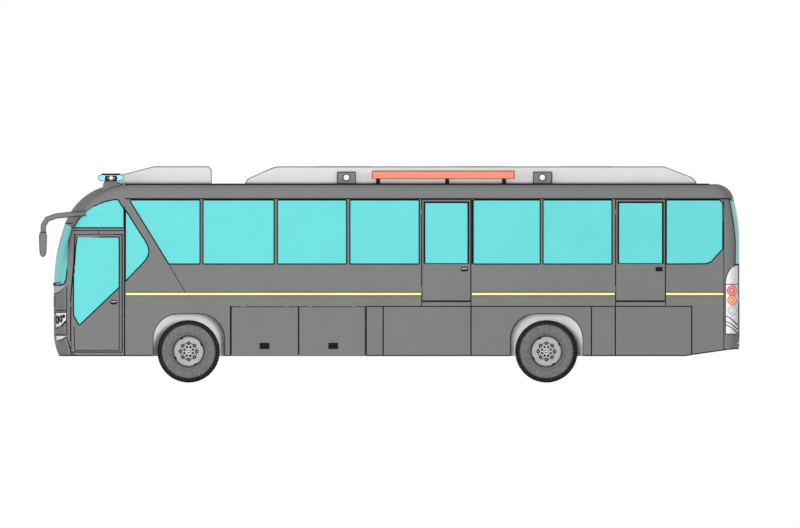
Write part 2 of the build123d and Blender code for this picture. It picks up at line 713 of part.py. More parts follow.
for side in sides:
    s = side["sign"]
    with BuildPart() as knuckle:
        with BuildSketch(Plane.XY.offset(wheel_z - 122)):
            with Locations((front_axle_x, s * kingpin_y)):
                Circle(45)
            with Locations((front_axle_x, s * (kingpin_y + 33.75))):
                Rectangle(90, 67.5)
        extrude(amount=244)
        with BuildSketch(Plane.XY.offset(wheel_z - 62)):
            with Locations((front_axle_x, s * (kingpin_y - 2.25))):
                Rectangle(130, 115.5)
        extrude(amount=124, mode=Mode.SUBTRACT)
        with BuildSketch(Plane.XZ.offset(-s * (kingpin_y + 55.5))):
            with Locations((front_axle_x, wheel_z)):
                Circle(75)
        extrude(amount=-s * 12)
        with BuildSketch(Plane.XZ.offset(-s * (kingpin_y + 60))):
            with Locations((front_axle_x, wheel_z)):
                Circle(stub_r)
        extrude(amount=-s * (track_y + 95 - kingpin_y - 60))
        with BuildSketch(Plane.XY.offset(wheel_z - 130)):
            with Locations((front_axle_x, s * kingpin_y)):
                Circle(kingpin_r + running_gap)
        extrude(amount=260, mode=Mode.SUBTRACT)
    save(knuckle, "knuckle_" + side["name"])

# Rear axle: tube with the final drive, and a stub through each pair of hubs.
with BuildPart() as rear_axle:
    with BuildSketch(Plane.XZ.offset(-half + 660)):
        with Locations((rear_axle_x, wheel_z)):
            Circle(85)
    extrude(amount=2 * (half - 660))
    with BuildSketch(Plane.XZ.offset(-(track_y + 95))):
        with Locations((rear_axle_x, wheel_z)):
            Circle(stub_r)
    extrude(amount=2 * (track_y + 95))
    with BuildSketch(Plane.XZ.offset(-110)):
        with Locations((rear_axle_x, wheel_z)):
            Circle(170)
    extrude(amount=220)
    with BuildSketch(Plane.XZ.offset(-170)):
        with Locations((rear_axle_x, wheel_z)):
            Circle(120)
    extrude(amount=340)
    for side in sides:
        with BuildSketch(Plane.XY.offset(wheel_z + 60)):
            with Locations((rear_axle_x, side["sign"] * rail_y)):
                Circle(90)
        extrude(amount=rail_low - wheel_z - 60)
save(rear_axle, "rear_axle")

# Wheels. In each profile the first value runs outboard from the middle of the
# outer tyre and the second is the radius.
wheels = [
    dict(name="front_left", x=front_axle_x, sign=-1, twin=False),
    dict(name="front_right", x=front_axle_x, sign=1, twin=False),
    dict(name="rear_left", x=rear_axle_x, sign=-1, twin=True),
    dict(name="rear_right", x=rear_axle_x, sign=1, twin=True),
]
for wheel in wheels:
    s = wheel["sign"]
    profile = Plane(origin=(wheel["x"], s * track_y, wheel_z), x_dir=(0, s, 0), z_dir=(1, 0, 0))
    spin = Axis((wheel["x"], 0, wheel_z), (0, 1, 0))
    rows = [0.0, -twin_gap] if wheel["twin"] else [0.0]
    edge = tyre_w / 2
    with BuildPart() as tyre:
        for shift in rows:
            with BuildSketch(profile):
                with BuildLine():
                    Line((shift - 112, rim_r), (shift + 112, rim_r))
                    ThreePointArc((shift + 112, rim_r), (shift + edge, rim_r + 125),
                                  (shift + edge - 14, tyre_r - 34))
                    ThreePointArc((shift + edge - 14, tyre_r - 34),
                                  (shift + edge - 22, tyre_r - 16), (shift + edge - 42, tyre_r - 6))
                    ThreePointArc((shift + edge - 42, tyre_r - 6), (shift, tyre_r),
                                  (shift - edge + 42, tyre_r - 6))
                    ThreePointArc((shift - edge + 42, tyre_r - 6),
                                  (shift - edge + 22, tyre_r - 16), (shift - edge + 14, tyre_r - 34))
                    ThreePointArc((shift - edge + 14, tyre_r - 34), (shift - edge, rim_r + 125),
                                  (shift - 112, rim_r))
                make_face()
            revolve(axis=spin)
    save(tyre, "tyre_" + wheel["name"])

    hub_in = -480.0 if wheel["twin"] else 35.0
    with BuildPart() as rim:
        with BuildSketch(profile):
            Polygon(*span(-105, 112, rim_r - 15, rim_r), align=None)
            Polygon(*span(50, 64, stub_r + running_gap, rim_r - 10), align=None)
            Polygon(*span(hub_in, 106, stub_r + running_gap, 105), align=None)
            Polygon((106, 0), (116, 0), (116, 60), (106, 105), align=None)
            if wheel["twin"]:
                Polygon(*span(-twin_gap - 105, -twin_gap + 105, rim_r - 15, rim_r), align=None)
                Polygon(*span(-twin_gap + 60, -twin_gap + 74, 100, rim_r - 10), align=None)
        revolve(axis=spin)
        with BuildSketch(Plane(origin=(wheel["x"], s * track_y, wheel_z), x_dir=(1, 0, 0),
                               z_dir=(0, s, 0))):
            with PolarLocations(205, 8):
                Circle(24)
        extrude(amount=90, mode=Mode.SUBTRACT)
    save(rim, "rim_" + wheel["name"])

# Engine, one plain block behind the rear axle.
with BuildPart() as engine:
    engine_low, engine_top = 540.0, floor_z - 110
    with Locations((5060, 0, (engine_low + engine_top) / 2)):
        Box(900, 2 * rail_y - 160, engine_top - engine_low)
    with Locations((4760, 0, 780), (5360, 0, 780)):
        Box(120, 2 * rail_y - rail_w, 90)
save(engine, "engine")

# Mirrors on swept arms ahead of the front corners.
arm_r = 45.0
arm_line = [(-5080, half - 40, 2822), (-5307, half + 70, 2805), (-5552, half + 85, 2778),
            (-5700, half + 85, 2725), (-5764, half + 85, 2620), (-5764, half + 85, 2490)]
mirror_edge = [(-5820, 2505), (-5837, 2450), (-5828, 2180), (-5812, 2122), (-5790, 2098),
               (-5750, 2098), (-5728, 2122), (-5712, 2180), (-5703, 2450), (-5716, 2505)]
with BuildPart() as mirrors:
    for side in sides:
        s = side["sign"]
        points = [(x, s * y, z) for x, y, z in arm_line]
        with BuildLine() as route:
            FilletPolyline(*points, radius=60)
        with BuildSketch(Plane(origin=route.wire() @ 0, z_dir=route.wire() % 0)):
            Circle(arm_r)
        sweep(path=route.wire())
        with BuildSketch(Plane.XZ.offset(-s * (half - 25))):
            Polygon(*mirror_edge, align=None)
        extrude(amount=-s * 220)
    add(hull_outer, mode=Mode.SUBTRACT)
save(mirrors, "mirrors")

# Roof equipment: two pods, beacons, side bars and work lamps.
front_pod_edge = [(-4520, roof_z), (-4473, 3465), (-3915, 3607), (-3010, 3607), (-2958, 3555),
                  (-2958, roof_z)]
rear_pod_edge = [(-2413, roof_z), (-2353, 3403), (-1952, 3582), (-1865, 3605), (4583, 3605),
                 (5038, 3427), (5097, 3375), (5127, 3317), (5127, roof_z)]
for name, outline, reach in (("front_roof_pod", front_pod_edge, half - 450),
                             ("rear_roof_pod", rear_pod_edge, half - 400)):
    with BuildPart() as pod:
        with BuildSketch(Plane.XZ):
            Polygon(*outline, align=None)
        extrude(amount=reach, both=True)
        long_edges = [e for e in pod.edges()
                      if abs(abs(e.center().Y) - reach) < 1 and e.center().Z > 3550]
        fillet(long_edges, 45)
    save(pod, name)

with BuildPart() as beacon_lenses:
    for side in sides:
        with BuildSketch(Plane.XY.offset(3365)):
            with Locations((-4636.5, side["sign"] * (half - 265))):
                RectangleRounded(423, 240, 50)
        extrude(amount=88)
save(beacon_lenses, "beacon_lenses")

with BuildPart() as beacon_caps:
    for side in sides:
        with BuildSketch(Plane.XY.offset(3453)):
            with Locations((-4636.5, side["sign"] * (half - 265))):
                RectangleRounded(330, 200, 40)
        extrude(amount=35, taper=15)
        with BuildSketch(Plane.XY.offset(3200)):
            with Locations((-4642, side["sign"] * (half - 280))):
                Rectangle(196, 120)
        extrude(amount=165)
    add(hull_outer, mode=Mode.SUBTRACT)
save(beacon_caps, "beacon_caps")

bar_y = half - 300
with BuildPart() as amber_bars:
    for side in sides:
        with Locations((899, side["sign"] * bar_y, 3463)):
            Box(2368, 100, 130)
save(amber_bars, "amber_bars")
with BuildPart() as bar_posts:
    for side in sides:
        for x in (-185, 966, 1911):
            with Locations((x, side["sign"] * bar_y, (roof_z + 3398) / 2)):
                Box(66, 60, 3398 - roof_z)
save(bar_posts, "bar_posts")
with BuildPart() as work_lamps:
    for side in sides:
        for x in (-711, 2552.5):
            with Locations((x, side["sign"] * (half - 310), (roof_z + 3513) / 2)):
                Box(312, 140, 3513 - roof_z)
save(work_lamps, "work_lamps")

# Seats. The profile runs from the front of the cushion, above the floor.
seat_edge = [(0, 350), (120, 330), (120, 0), (360, 0), (360, 330), (500, 340), (640, 1120),
             (560, 1160), (430, 470), (0, 460)]
seat_rows = dict(
    left=[-3850, -3050, -2250, -1450, -650, 1500, 2280, 3060, 4700],
    right=[-3850, -3050, -2250, -1450, -650, 150, 950, 1750, 2550, 3350, 4150, 4950],
)
seat_w = 830.0
with BuildPart() as seats:
    for side in sides:
        with BuildSketch(Plane.XZ.offset(-side["sign"] * (half - wall - 30 - seat_w))):
            for x in seat_rows[side["name"]]:
                Polygon(*[(x + u, floor_z + h) for u, h in seat_edge], align=None)
        extrude(amount=-side["sign"] * seat_w)
save(seats, "passenger_seats")

driver_y = half - 630
with BuildPart() as driver_seat:
    with BuildSketch(Plane.XZ.offset(-driver_y + 250)):
        Polygon(*[(-4760 + u * 0.85, cab_z + h) for u, h in seat_edge], align=None)
    extrude(amount=-500)
save(driver_seat, "driver_seat")

with BuildPart() as dashboard:
    with BuildSketch(Plane.XZ.offset(-driver_y + 470)):
        Polygon((-5600, cab_z), (-5240, cab_z), (-5240, 1330), (-5090, 1400), (-5090, 1480),
                (-5300, 1560), (-5600, 1560), align=None)
    extrude(amount=-1100)
    add(hull_inner, mode=Mode.INTERSECT)
save(dashboard, "dashboard")

column = Plane(origin=(-4960, driver_y, 1600), z_dir=(0.5, 0, 0.866))
with BuildPart() as steering_wheel:
    with BuildSketch(column):
        Circle(225)
        Circle(193, mode=Mode.SUBTRACT)
        Rectangle(400, 40)
        Rectangle(40, 400)
        Circle(60)
    extrude(amount=28)
    with BuildSketch(column):
        Circle(25)
    extrude(amount=-240)
    add(dashboard.part, mode=Mode.SUBTRACT)
save(steering_wheel, "steering_wheel")
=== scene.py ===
"""Airport passenger bus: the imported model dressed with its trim, wheels, lamps,
seats and finishes. Every tool stands in the panel of the 3D view's sidebar."""

from math import cos, exp, pi, radians, sin, sqrt

import bmesh
import bpy
from mathutils import Matrix, Vector
from mathutils.bvhtree import BVHTree


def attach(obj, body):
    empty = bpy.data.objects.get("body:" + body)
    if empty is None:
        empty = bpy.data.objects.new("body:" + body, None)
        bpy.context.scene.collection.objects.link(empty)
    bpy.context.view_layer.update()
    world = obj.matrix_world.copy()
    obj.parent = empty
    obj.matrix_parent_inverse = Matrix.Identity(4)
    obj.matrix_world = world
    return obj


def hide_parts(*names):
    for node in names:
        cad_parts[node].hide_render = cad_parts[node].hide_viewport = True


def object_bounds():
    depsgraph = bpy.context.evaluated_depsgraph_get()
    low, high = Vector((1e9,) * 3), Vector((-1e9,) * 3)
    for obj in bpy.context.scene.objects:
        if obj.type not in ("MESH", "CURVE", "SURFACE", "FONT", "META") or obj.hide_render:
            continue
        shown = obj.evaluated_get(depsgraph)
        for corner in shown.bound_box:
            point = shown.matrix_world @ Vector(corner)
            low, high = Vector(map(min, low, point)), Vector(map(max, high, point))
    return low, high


bl_info = {
    "name": "Airport bus dresser",
    "version": (1, 0, 0),
    "blender": (4, 5, 0),
    "location": "3D View > Sidebar > Bus",
    "description": "Adds trim, wheels, lamps, seats and finishes to an airport bus",
    "category": "Object",
}

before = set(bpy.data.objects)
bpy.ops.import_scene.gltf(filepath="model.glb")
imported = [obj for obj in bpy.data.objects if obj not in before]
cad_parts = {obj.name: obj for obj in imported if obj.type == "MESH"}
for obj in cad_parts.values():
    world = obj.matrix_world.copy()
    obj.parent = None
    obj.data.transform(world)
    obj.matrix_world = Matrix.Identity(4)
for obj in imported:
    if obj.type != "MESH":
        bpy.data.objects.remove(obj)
CAD_BOX = [list(corner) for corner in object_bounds()]

# Driving sizes in metres, the same as the solids have.
SIDES = {"left": -1, "right": 1}
LEFT, RIGHT = SIDES.values()
FRONT, REAR = -1, 1
HALF = 1.25
SKIRT_Z, BELT_Z, STRIPE_Z = 0.447, 1.272, 1.478
LIGHT_FOOT, LIGHT_TOP = 1.978, 3.045
NOSE_SEAM_X = -4.410
WHEEL_Z, TRACK_Y, TWIN_GAP = 0.522, 1.0775, 0.345
AXLES = {"front": (-3.343, [0.0]), "rear": (2.62, [0.0, -TWIN_GAP])}
WHEELS = {end + "_" + label: (x, side, shifts)
          for end, (x, shifts) in AXLES.items() for label, side in SIDES.items()}
DOORS = {"mid": (0.540, 1.365), "rear": (3.770, 4.607)}
ARCHES = {"front": (-3.927, -2.745), "rear": (2.023, 3.222)}
# Front edge, rear edge and middle of the latch.
FLAPS = {"front": (-2.637, -1.510, -2.078), "rear": (-1.510, -0.392, -0.933)}
SEAT_FLOOR, SEAT_Y = 1.330, 0.755
SEAT_ROWS = {LEFT: [-3.850, -3.050, -2.250, -1.450, -0.650, 1.500, 2.280, 3.060, 4.700],
             RIGHT: [-3.850, -3.050, -2.250, -1.450, -0.650, 0.150, 0.950, 1.750, 2.550, 3.350,
                     4.150, 4.950]}
DRIVER_SEAT, STEERING_HUB = (-4.760, 0.620, 0.940), (-4.960, 0.620, 1.600)
STEERING_LEAN_DEGREES = 30.0
# The picture's width and middle in metres.
PICTURE_WIDE, PICTURE_MIDDLE = 13.333, (0.1803, 1.9783)

# Outlines in the side view.
FIRST_LIGHT = [(-4.330, LIGHT_TOP), (-3.673, LIGHT_FOOT), (-3.152, LIGHT_FOOT),
               (-3.152, LIGHT_TOP)]
LAST_LIGHT = [(4.618, LIGHT_FOOT), (5.275, 1.982), (5.362, 2.010), (5.560, 2.230), (5.560, 2.995),
              (5.510, LIGHT_TOP), (4.618, LIGHT_TOP)]
MAIN_LIGHTS = [(-3.103, -1.917), (-1.863, -0.710), (-0.655, 0.500), (1.400, 2.517), (2.565, 3.713)]
RIGHT_LIGHTS = [(0.545, 1.352), (3.770, 4.570)]
QUARTER_LINE = [(-5.263, 2.582), (-5.180, 2.715), (-5.040, 2.862), (-4.913, 2.945),
                (-4.747, 3.015), (-4.593, 3.050), (-4.520, 3.050), (-4.420, 2.890),
                (-4.420, 2.582)]
QUARTER_BAND = [(-4.456, 2.586), (-4.420, 2.586), (-4.420, 2.885), (-4.456, 2.940)]
NOSE_LINE = [(-4.397, 2.882), (-4.062, 2.358), (-4.030, 2.298), (-4.010, 2.240), (-4.004, 2.180),
             (-4.017, 2.118), (-4.047, 2.062), (-4.090, 2.010), (-4.397, 1.688)]
DRIVER_LIGHT = [(-5.215, 2.430), (-4.500, 2.430), (-4.500, 1.600), (-5.260, 1.600)]
FRONT_DOOR = [(-5.306, 0.511), (-4.453, 0.511), (-4.453, 2.466), (-5.238, 2.466), (-5.254, 2.000),
              (-5.306, 1.400)]
FRONT_DOOR_LIGHT = [(-5.200, 2.428), (-4.499, 2.428), (-4.499, 1.590), (-5.168, 0.952),
                    (-5.260, 1.125), (-5.263, 1.660), (-5.227, 2.248)]
WINDSCREEN_SIDE = [(-5.520, 1.628), (-5.424, 1.642), (-5.388, 1.720), (-5.375, 1.825),
                   (-5.345, 2.353), (-5.280, 2.588), (-5.404, 2.657)]
REAR_WINDOW_SIDE = [(5.770, 1.972), (5.773, 2.373), (5.745, 2.615), (5.707, 2.843),
                    (5.676, LIGHT_TOP)]

# The solids that make up the body's outside.
FLAP_NODES = tuple("luggage_flap_" + label + "_" + end for label in SIDES for end in FLAPS)
PANELS = ("roof", "left_side", "right_side", "skirt_panels", "front_cap", "rear_cap", "front_door",
          "mid_door", "rear_door", "engine_lid") + FLAP_NODES
PANES = ("left_windows", "right_windows", "windscreen", "cab_windows", "rear_window",
         "front_door_glass", "mid_door_glass", "rear_door_glass")
TAIL_LAMPS = ("tail_lamps_clear", "tail_lamps_amber", "tail_lamps_red")


# Settings
def colour(label, text, value):
    return bpy.props.FloatVectorProperty(name=label, description=text, subtype="COLOR", size=3,
                                         min=0.0, max=1.0, default=value)


def length(label, text, value, low, high):
    return bpy.props.FloatProperty(name=label, description=text, default=value, min=low,
                                   max=high, unit="LENGTH")


def number(label, text, value, low, high):
    return bpy.props.IntProperty(name=label, description=text, default=value, min=low, max=high)


def grey(value):
    return (value, value, value)


class BusColours(bpy.types.PropertyGroup):
    """Colours of the bus, in scene-linear values."""

    body: colour("Body paint", "Mid grey of the body panels", grey(0.185))
    glass: colour("Window glass", "Cyan tint of the panes", (0.15, 0.67, 0.67))
    pods: colour("Roof pods", "Light grey of the roof equipment", grey(0.68))
    stripe: colour("Stripe", "Pale yellow of the waist stripe", (0.98, 0.95, 0.38))
    bar: colour("Side bars", "Salmon orange of the roof bars", (0.95, 0.27, 0.155))
    seats: colour("Seat cloth", "Blue of the seat covers", (0.05, 0.11, 0.24))


class BusSizes(bpy.types.PropertyGroup):
    """Sizes of the trim."""

    gasket: length("Window gasket", "Width of the rubber around the panes", 0.020, 0.006, 0.05)
    seam: length("Panel seam", "Width of the sealed joints between panels", 0.020, 0.008, 0.05)
    edge: length("Door edge", "Width of the rubber edge of doors and flaps", 0.008, 0.004, 0.03)
    stripe: length("Stripe height", "Height of the waist stripe", 0.040, 0.01, 0.2)
    tread_blocks: number("Tread blocks", "Shoulder blocks around each tyre", 72, 24, 120)
    wheel_nuts: number("Wheel nuts", "Nuts on each wheel disc", 8, 5, 12)
    louvres: number("Engine louvres", "Slats on the engine lid", 11, 3, 30)


# Node trees
class Graph:
    """Short calls to build a node tree."""

    def __init__(self, tree):
        self.tree = tree

    def add(self, kind, inputs=None, **settings):
        node = self.tree.nodes.new(kind)
        for name, value in settings.items():
            setattr(node, name, value)
        for key, value in (inputs or {}).items():
            if isinstance(value, bpy.types.NodeSocket):
                self.tree.links.new(value, node.inputs[key])
            else:
                node.inputs[key].default_value = value
        return node

    def link(self, out, into):
        self.tree.links.new(out, into)

    def math(self, operation, first, second):
        return self.add("ShaderNodeMath", {0: first, 1: second}, operation=operation).outputs[0]


def geometry_tree(name, **sockets):
    """A geometry tree with its inputs by name; returns the graph and the input's sockets."""
    tree = bpy.data.node_groups.new(name, "GeometryNodeTree")
    rows = [("Geometry", "INPUT", "Geometry")]
    rows += [(label, "INPUT", kind) for label, kind in sockets.items()]
    for label, way, kind in rows + [("Geometry", "OUTPUT", "Geometry")]:
        tree.interface.new_socket(label, in_out=way, socket_type="NodeSocket" + kind)
    graph = Graph(tree)
    return graph, graph.add("NodeGroupInput").outputs


def close_tree(graph, geometry, material):
    real = graph.add("GeometryNodeRealizeInstances", {"Geometry": geometry})
    dressed = graph.add("GeometryNodeSetMaterial", {"Geometry": real.outputs["Geometry"],
                                                    "Material": material})
    out = graph.add("NodeGroupOutput")
    graph.link(dressed.outputs["Geometry"], out.inputs["Geometry"])
    return graph.tree


def run_tree(obj, tree, **values):
    """Runs a tree on an object and keeps the result as its plain mesh."""
    modifier = obj.modifiers.new("shape", "NODES")
    modifier.node_group = tree
    for item in tree.interface.items_tree:
        if item.in_out == "INPUT" and item.name in values:
            modifier[item.identifier] = values[item.name]
    graph = bpy.context.evaluated_depsgraph_get()
    mesh = bpy.data.meshes.new_from_object(obj.evaluated_get(graph))
    obj.modifiers.remove(modifier)
    old = obj.data
    obj.data = mesh
    mesh.name = obj.name
    bpy.data.meshes.remove(old)
    if not mesh.polygons:
        raise RuntimeError("the tree " + tree.name + " made no faces for " + obj.name)


def strip_tree():
    """A strip of rubber or metal that follows each path over the face it lies on."""
    graph, given = geometry_tree("Strip along paths", Width="Float", Thickness="Float",
                                 Corner="Float", Material="Material")
    path = graph.add("GeometryNodeMeshToCurve", {"Mesh": given["Geometry"]})
    rounded = graph.add("GeometryNodeFilletCurve", {
        "Curve": path.outputs["Curve"], "Radius": given["Corner"], "Count": 6,
        "Limit Radius": True}, mode="POLY")
    face = graph.add("GeometryNodeInputNamedAttribute", {"Name": "face"},
                     data_type="FLOAT_VECTOR")
    aimed = graph.add("GeometryNodeSetCurveNormal", {
        "Curve": rounded.outputs["Curve"], "Normal": face.outputs["Attribute"]}, mode="FREE")
    section = graph.add("GeometryNodeCurvePrimitiveQuadrilateral", {
        "Width": given["Thickness"], "Height": given["Width"]})
    strip = graph.add("GeometryNodeCurveToMesh", {
        "Curve": aimed.outputs["Curve"], "Profile Curve": section.outputs["Curve"],
        "Fill Caps": True})
    return close_tree(graph, strip.outputs["Mesh"], given["Material"])


def ring_tree():
    """Copies of a shape set evenly around a circle whose axis is Y."""
    graph, given = geometry_tree("Shape around a circle", Count="Int", Radius="Float",
                                 Centre="Vector", Start="Float", Material="Material")
    circle = graph.add("GeometryNodeMeshCircle", {
        "Vertices": given["Count"], "Radius": given["Radius"]}, fill_type="NONE")
    place = graph.add("GeometryNodeInputIndex").outputs["Index"]
    turn = graph.math("MULTIPLY", graph.math("DIVIDE", place, given["Count"]), 2 * pi)
    spin = graph.add("ShaderNodeCombineXYZ", {"Z": turn})
    copies = graph.add("GeometryNodeInstanceOnPoints", {
        "Points": circle.outputs["Mesh"], "Instance": given["Geometry"],
        "Rotation": spin.outputs["Vector"]})
    begin = graph.add("ShaderNodeCombineXYZ", {"Z": given["Start"]})
    turned = graph.add("GeometryNodeTransform", {
        "Geometry": copies.outputs["Instances"], "Rotation": begin.outputs["Vector"]})
    placed = graph.add("GeometryNodeTransform", {
        "Geometry": turned.outputs["Geometry"], "Translation": given["Centre"],
        "Rotation": (pi / 2, 0, 0)})
    return close_tree(graph, placed.outputs["Geometry"], given["Material"])


def row_tree():
    """Copies of a shape in a straight row."""
    graph, given = geometry_tree("Shape in a row", Count="Int", Start="Vector", Step="Vector",
                                 Material="Material")
    line = graph.add("GeometryNodeMeshLine", {
        "Count": given["Count"], "Start Location": given["Start"], "Offset": given["Step"]},
        mode="OFFSET")
    copies = graph.add("GeometryNodeInstanceOnPoints", {
        "Points": line.outputs["Mesh"], "Instance": given["Geometry"]})
    return close_tree(graph, copies.outputs["Instances"], given["Material"])


def scatter_tree():
    """Copies of one object at the points of another mesh."""
    graph, given = geometry_tree("Shape at points", Shape="Object", Material="Material")
    shape = graph.add("GeometryNodeObjectInfo", {"Object": given["Shape"]},
                      transform_space="ORIGINAL")
    copies = graph.add("GeometryNodeInstanceOnPoints", {
        "Points": given["Geometry"], "Instance": shape.outputs["Geometry"]})
    return close_tree(graph, copies.outputs["Instances"], given["Material"])


TREES = {}


def tree_of(maker):
    if maker not in TREES:
        TREES[maker] = maker()
    return TREES[maker]


# Meshes
def put(name, mesh, material=None):
    obj = bpy.data.objects.new(name, mesh)
    bpy.context.scene.collection.objects.link(obj)
    if material:
        mesh.materials.clear()
        mesh.materials.append(material)
    return obj


def mesh_from(name, points, faces, edges=()):
    mesh = bpy.data.meshes.new(name)
    mesh.from_pydata([tuple(p) for p in points], list(edges), list(faces))
    mesh.update()
    return mesh


def smooth_below(mesh, angle):
    if angle is not None:
        mesh.shade_smooth()
        mesh.set_sharp_from_angle(angle=radians(angle))


def from_bmesh(name, bm, look, smooth=None):
    bmesh.ops.recalc_face_normals(bm, faces=bm.faces)
    mesh = bpy.data.meshes.new(name)
    bm.to_mesh(mesh)
    bm.free()
    obj = put(name, mesh, finish(look))
    smooth_below(mesh, smooth)
    return obj


def finish_piece(obj, body="bus", replaces=()):
    for vert in obj.data.vertices:
        vert.co = [min(max(c, low), high) for c, low, high in zip(vert.co, *CAD_BOX)]
    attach(obj, body)
    if replaces:
        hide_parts(*replaces)
    return obj


def keep(bm, name, look, body="bus", smooth=None, replaces=()):
    """The bmesh as a finished piece."""
    return finish_piece(from_bmesh(name, bm, look, smooth), body, replaces)


def add_box(bm, corner, opposite):
    made = bmesh.ops.create_cube(bm, size=1.0)["verts"]
    for vert in made:
        vert.co = [(a + b) / 2 + c * abs(b - a) for a, b, c in zip(corner, opposite, vert.co)]
    return made


def soften(bm, amount, steps=2, edges=None):
    bmesh.ops.bevel(bm, geom=list(bm.edges if edges is None else edges), offset=amount,
                    segments=steps, profile=0.6, affect="EDGES", clamp_overlap=True)


def add_slab(bm, outline, near, far):
    """A closed outline of the side view, drawn out between two values of Y."""
    count = len(outline)
    low = [bm.verts.new((x, near, z)) for x, z in outline]
    high = [bm.verts.new((x, far, z)) for x, z in outline]
    bm.faces.new(low)
    bm.faces.new(high)
    for i in range(count):
        j = (i + 1) % count
        bm.faces.new((low[i], low[j], high[j], high[i]))


def crossing(bm):
    """The edges that run along Y."""
    return [e for e in bm.edges if abs(e.verts[0].co.y - e.verts[1].co.y) > 0.001]


def add_turned(bm, profile, centre=(0, 0, 0), side=1, steps=32, axis="Y"):
    """A closed solid turned from (along, radius) pairs that start and end on the axis
    or meet in a ring."""
    rings = []
    for along, radius in profile:
        ring = []
        for i in range(1 if radius < 1e-6 else steps):
            angle = 2 * pi * i / steps
            u, v = radius * cos(angle), radius * sin(angle)
            spot = (u, side * along, v) if axis == "Y" else (u, v, side * along)
            ring.append(bm.verts.new(Vector(centre) + Vector(spot)))
        rings.append(ring)
    for a, b in zip(rings, rings[1:]):
        if len(a) == 1 and len(b) == 1:
            continue
        for i in range(steps):
            j = (i + 1) % steps
            if len(a) == 1:
                bm.faces.new((a[0], b[i], b[j]))
            elif len(b) == 1:
                bm.faces.new((a[i], b[0], a[j]))
            else:
                bm.faces.new((a[i], b[i], b[j], a[j]))
    if len(rings[0]) > 1 and profile[0] == profile[-1]:
        bmesh.ops.remove_doubles(bm, verts=[v for ring in rings for v in ring], dist=1e-6)


# The body's surface
def surface(names):
    points, faces = [], []
    for name in names:
        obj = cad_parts[name]
        base = len(points)
        points += [obj.matrix_world @ v.co for v in obj.data.vertices]
        faces += [[base + i for i in p.vertices] for p in obj.data.polygons]
    return BVHTree.FromPolygons(points, faces)


SKIN = surface(PANELS + PANES + ("headlamps",) + TAIL_LAMPS)
NUDGES = ((0, 0), (0.009, 0), (-0.009, 0), (0, 0.009), (0, -0.009))
LEVEL_GAP = 0.004
END_VIEW, SIDE_VIEW = 0, 1
FAR_AWAY = (8, 4)


def outermost(a, z, sign, view):
    """The body's outermost point seen along X or Y, and the face's direction there."""
    toward = Vector((0, 0, 0))
    toward[view] = -sign
    best = None
    for da, dz in NUDGES:
        start = Vector((a + da, a + da, z + dz))
        start[view] = sign * FAR_AWAY[view]
        spot, normal, _, _ = SKIN.ray_cast(start, toward)
        if spot and (best is None or sign * spot[view] > sign * best[0][view] + LEVEL_GAP):
            best = (spot, normal)
    if best is None and view == END_VIEW:
        raise RuntimeError("no surface at the end for y %.3f z %.3f" % (a, z))
    if best is None:
        best = (Vector((0, sign * HALF, 0)), -toward)
    found = Vector((a, a, z))
    found[view] = best[0][view]
    return found, best[1] if best[1][view] * sign > 0 else -best[1]


def on_side(x, z, side):
    return outermost(x, z, side, SIDE_VIEW)


def on_end(y, z, end):
    return outermost(y, z, end, END_VIEW)


def seen_from(side):
    return lambda x, z: on_side(x, z, side)


def seen_at(end):
    return lambda y, z: on_end(y, z, end)


def curved(x, z):
    """Whether the side bends here: at the nose, the tail and the roof's edge."""
    return x < -5.24 or x > 5.60 or z > 3.12


def walk(points, closed, seen, step, bends):
    """A path over the body through points of a view, closer where the body bends."""
    ends = list(points) + ([points[0]] if closed else [])
    spots = []
    for (a0, z0), (a1, z1) in zip(ends, ends[1:]):
        far = sqrt((a1 - a0) ** 2 + (z1 - z0) ** 2)
        pieces = max(1, int(far / step)) if bends(a0, z0) or bends(a1, z1) else 1
        for i in range(pieces):
            t = i / pieces
            spots.append(seen(a0 + (a1 - a0) * t, z0 + (z1 - z0) * t))
    if not closed:
        spots.append(seen(*ends[-1]))
    return spots, closed


def side_path(points, side, closed=False, step=0.04):
    return walk(points, closed, seen_from(side), step, curved)


def side_paths(lines, side, closed=False, step=0.04):
    return [side_path(line, side, closed, step) for line in lines]


def end_path(points, end, closed=False, step=0.06):
    return walk(points, closed, seen_at(end), step, lambda y, z: True)


def flat_path(points, y, side):
    """A closed path on a plain upright face."""
    return flat_line(points, y, side)[0], True


def flat_line(points, y, side):
    return [(Vector((x, y, z)), Vector((0, side, 0))) for x, z in points], False


def strips(name, paths, width, thick=0.005, look="Rubber", body="bus", corner=0.0):
    """One piece of strips along all the given paths, on one body."""
    points, normals, edges = [], [], []
    for spots, closed in paths:
        base, count = len(points), len(spots)
        points += [spot for spot, _ in spots]
        normals += [normal for _, normal in spots]
        edges += [(base + i, base + i + 1) for i in range(count - 1)]
        if closed:
            edges.append((base + count - 1, base))
    mesh = mesh_from(name, points, [], edges)
    aim = mesh.attributes.new("face", "FLOAT_VECTOR", "POINT")
    for i, normal in enumerate(normals):
        aim.data[i].vector = normal
    obj = put(name, mesh)
    run_tree(obj, tree_of(strip_tree), Width=float(width), Thickness=float(thick),
             Corner=float(corner), Material=finish(look))
    if "face" in obj.data.attributes:
        obj.data.attributes.remove(obj.data.attributes["face"])
    finish_piece(obj, body)


def inset(points, amount):
    """A convex or nearly convex outline moved inwards by an amount."""
    corners = [Vector(p) for p in points]
    following = corners[1:] + corners[:1]
    area = sum(a.x * b.y - b.x * a.y for a, b in zip(corners, following))
    turn = 1 if area > 0 else -1
    lines = []
    for a, b in zip(corners, following):
        along = (b - a).normalized()
        lines.append((a + Vector((-along.y, along.x)) * turn * amount, along))
    out = []
    for (p, d), (q, e) in zip(lines[-1:] + lines[:-1], lines):
        t = ((q.x - p.x) * e.y - (q.y - p.y) * e.x) / (d.x * e.y - d.y * e.x)
        out.append(tuple(p + d * t))
    return out


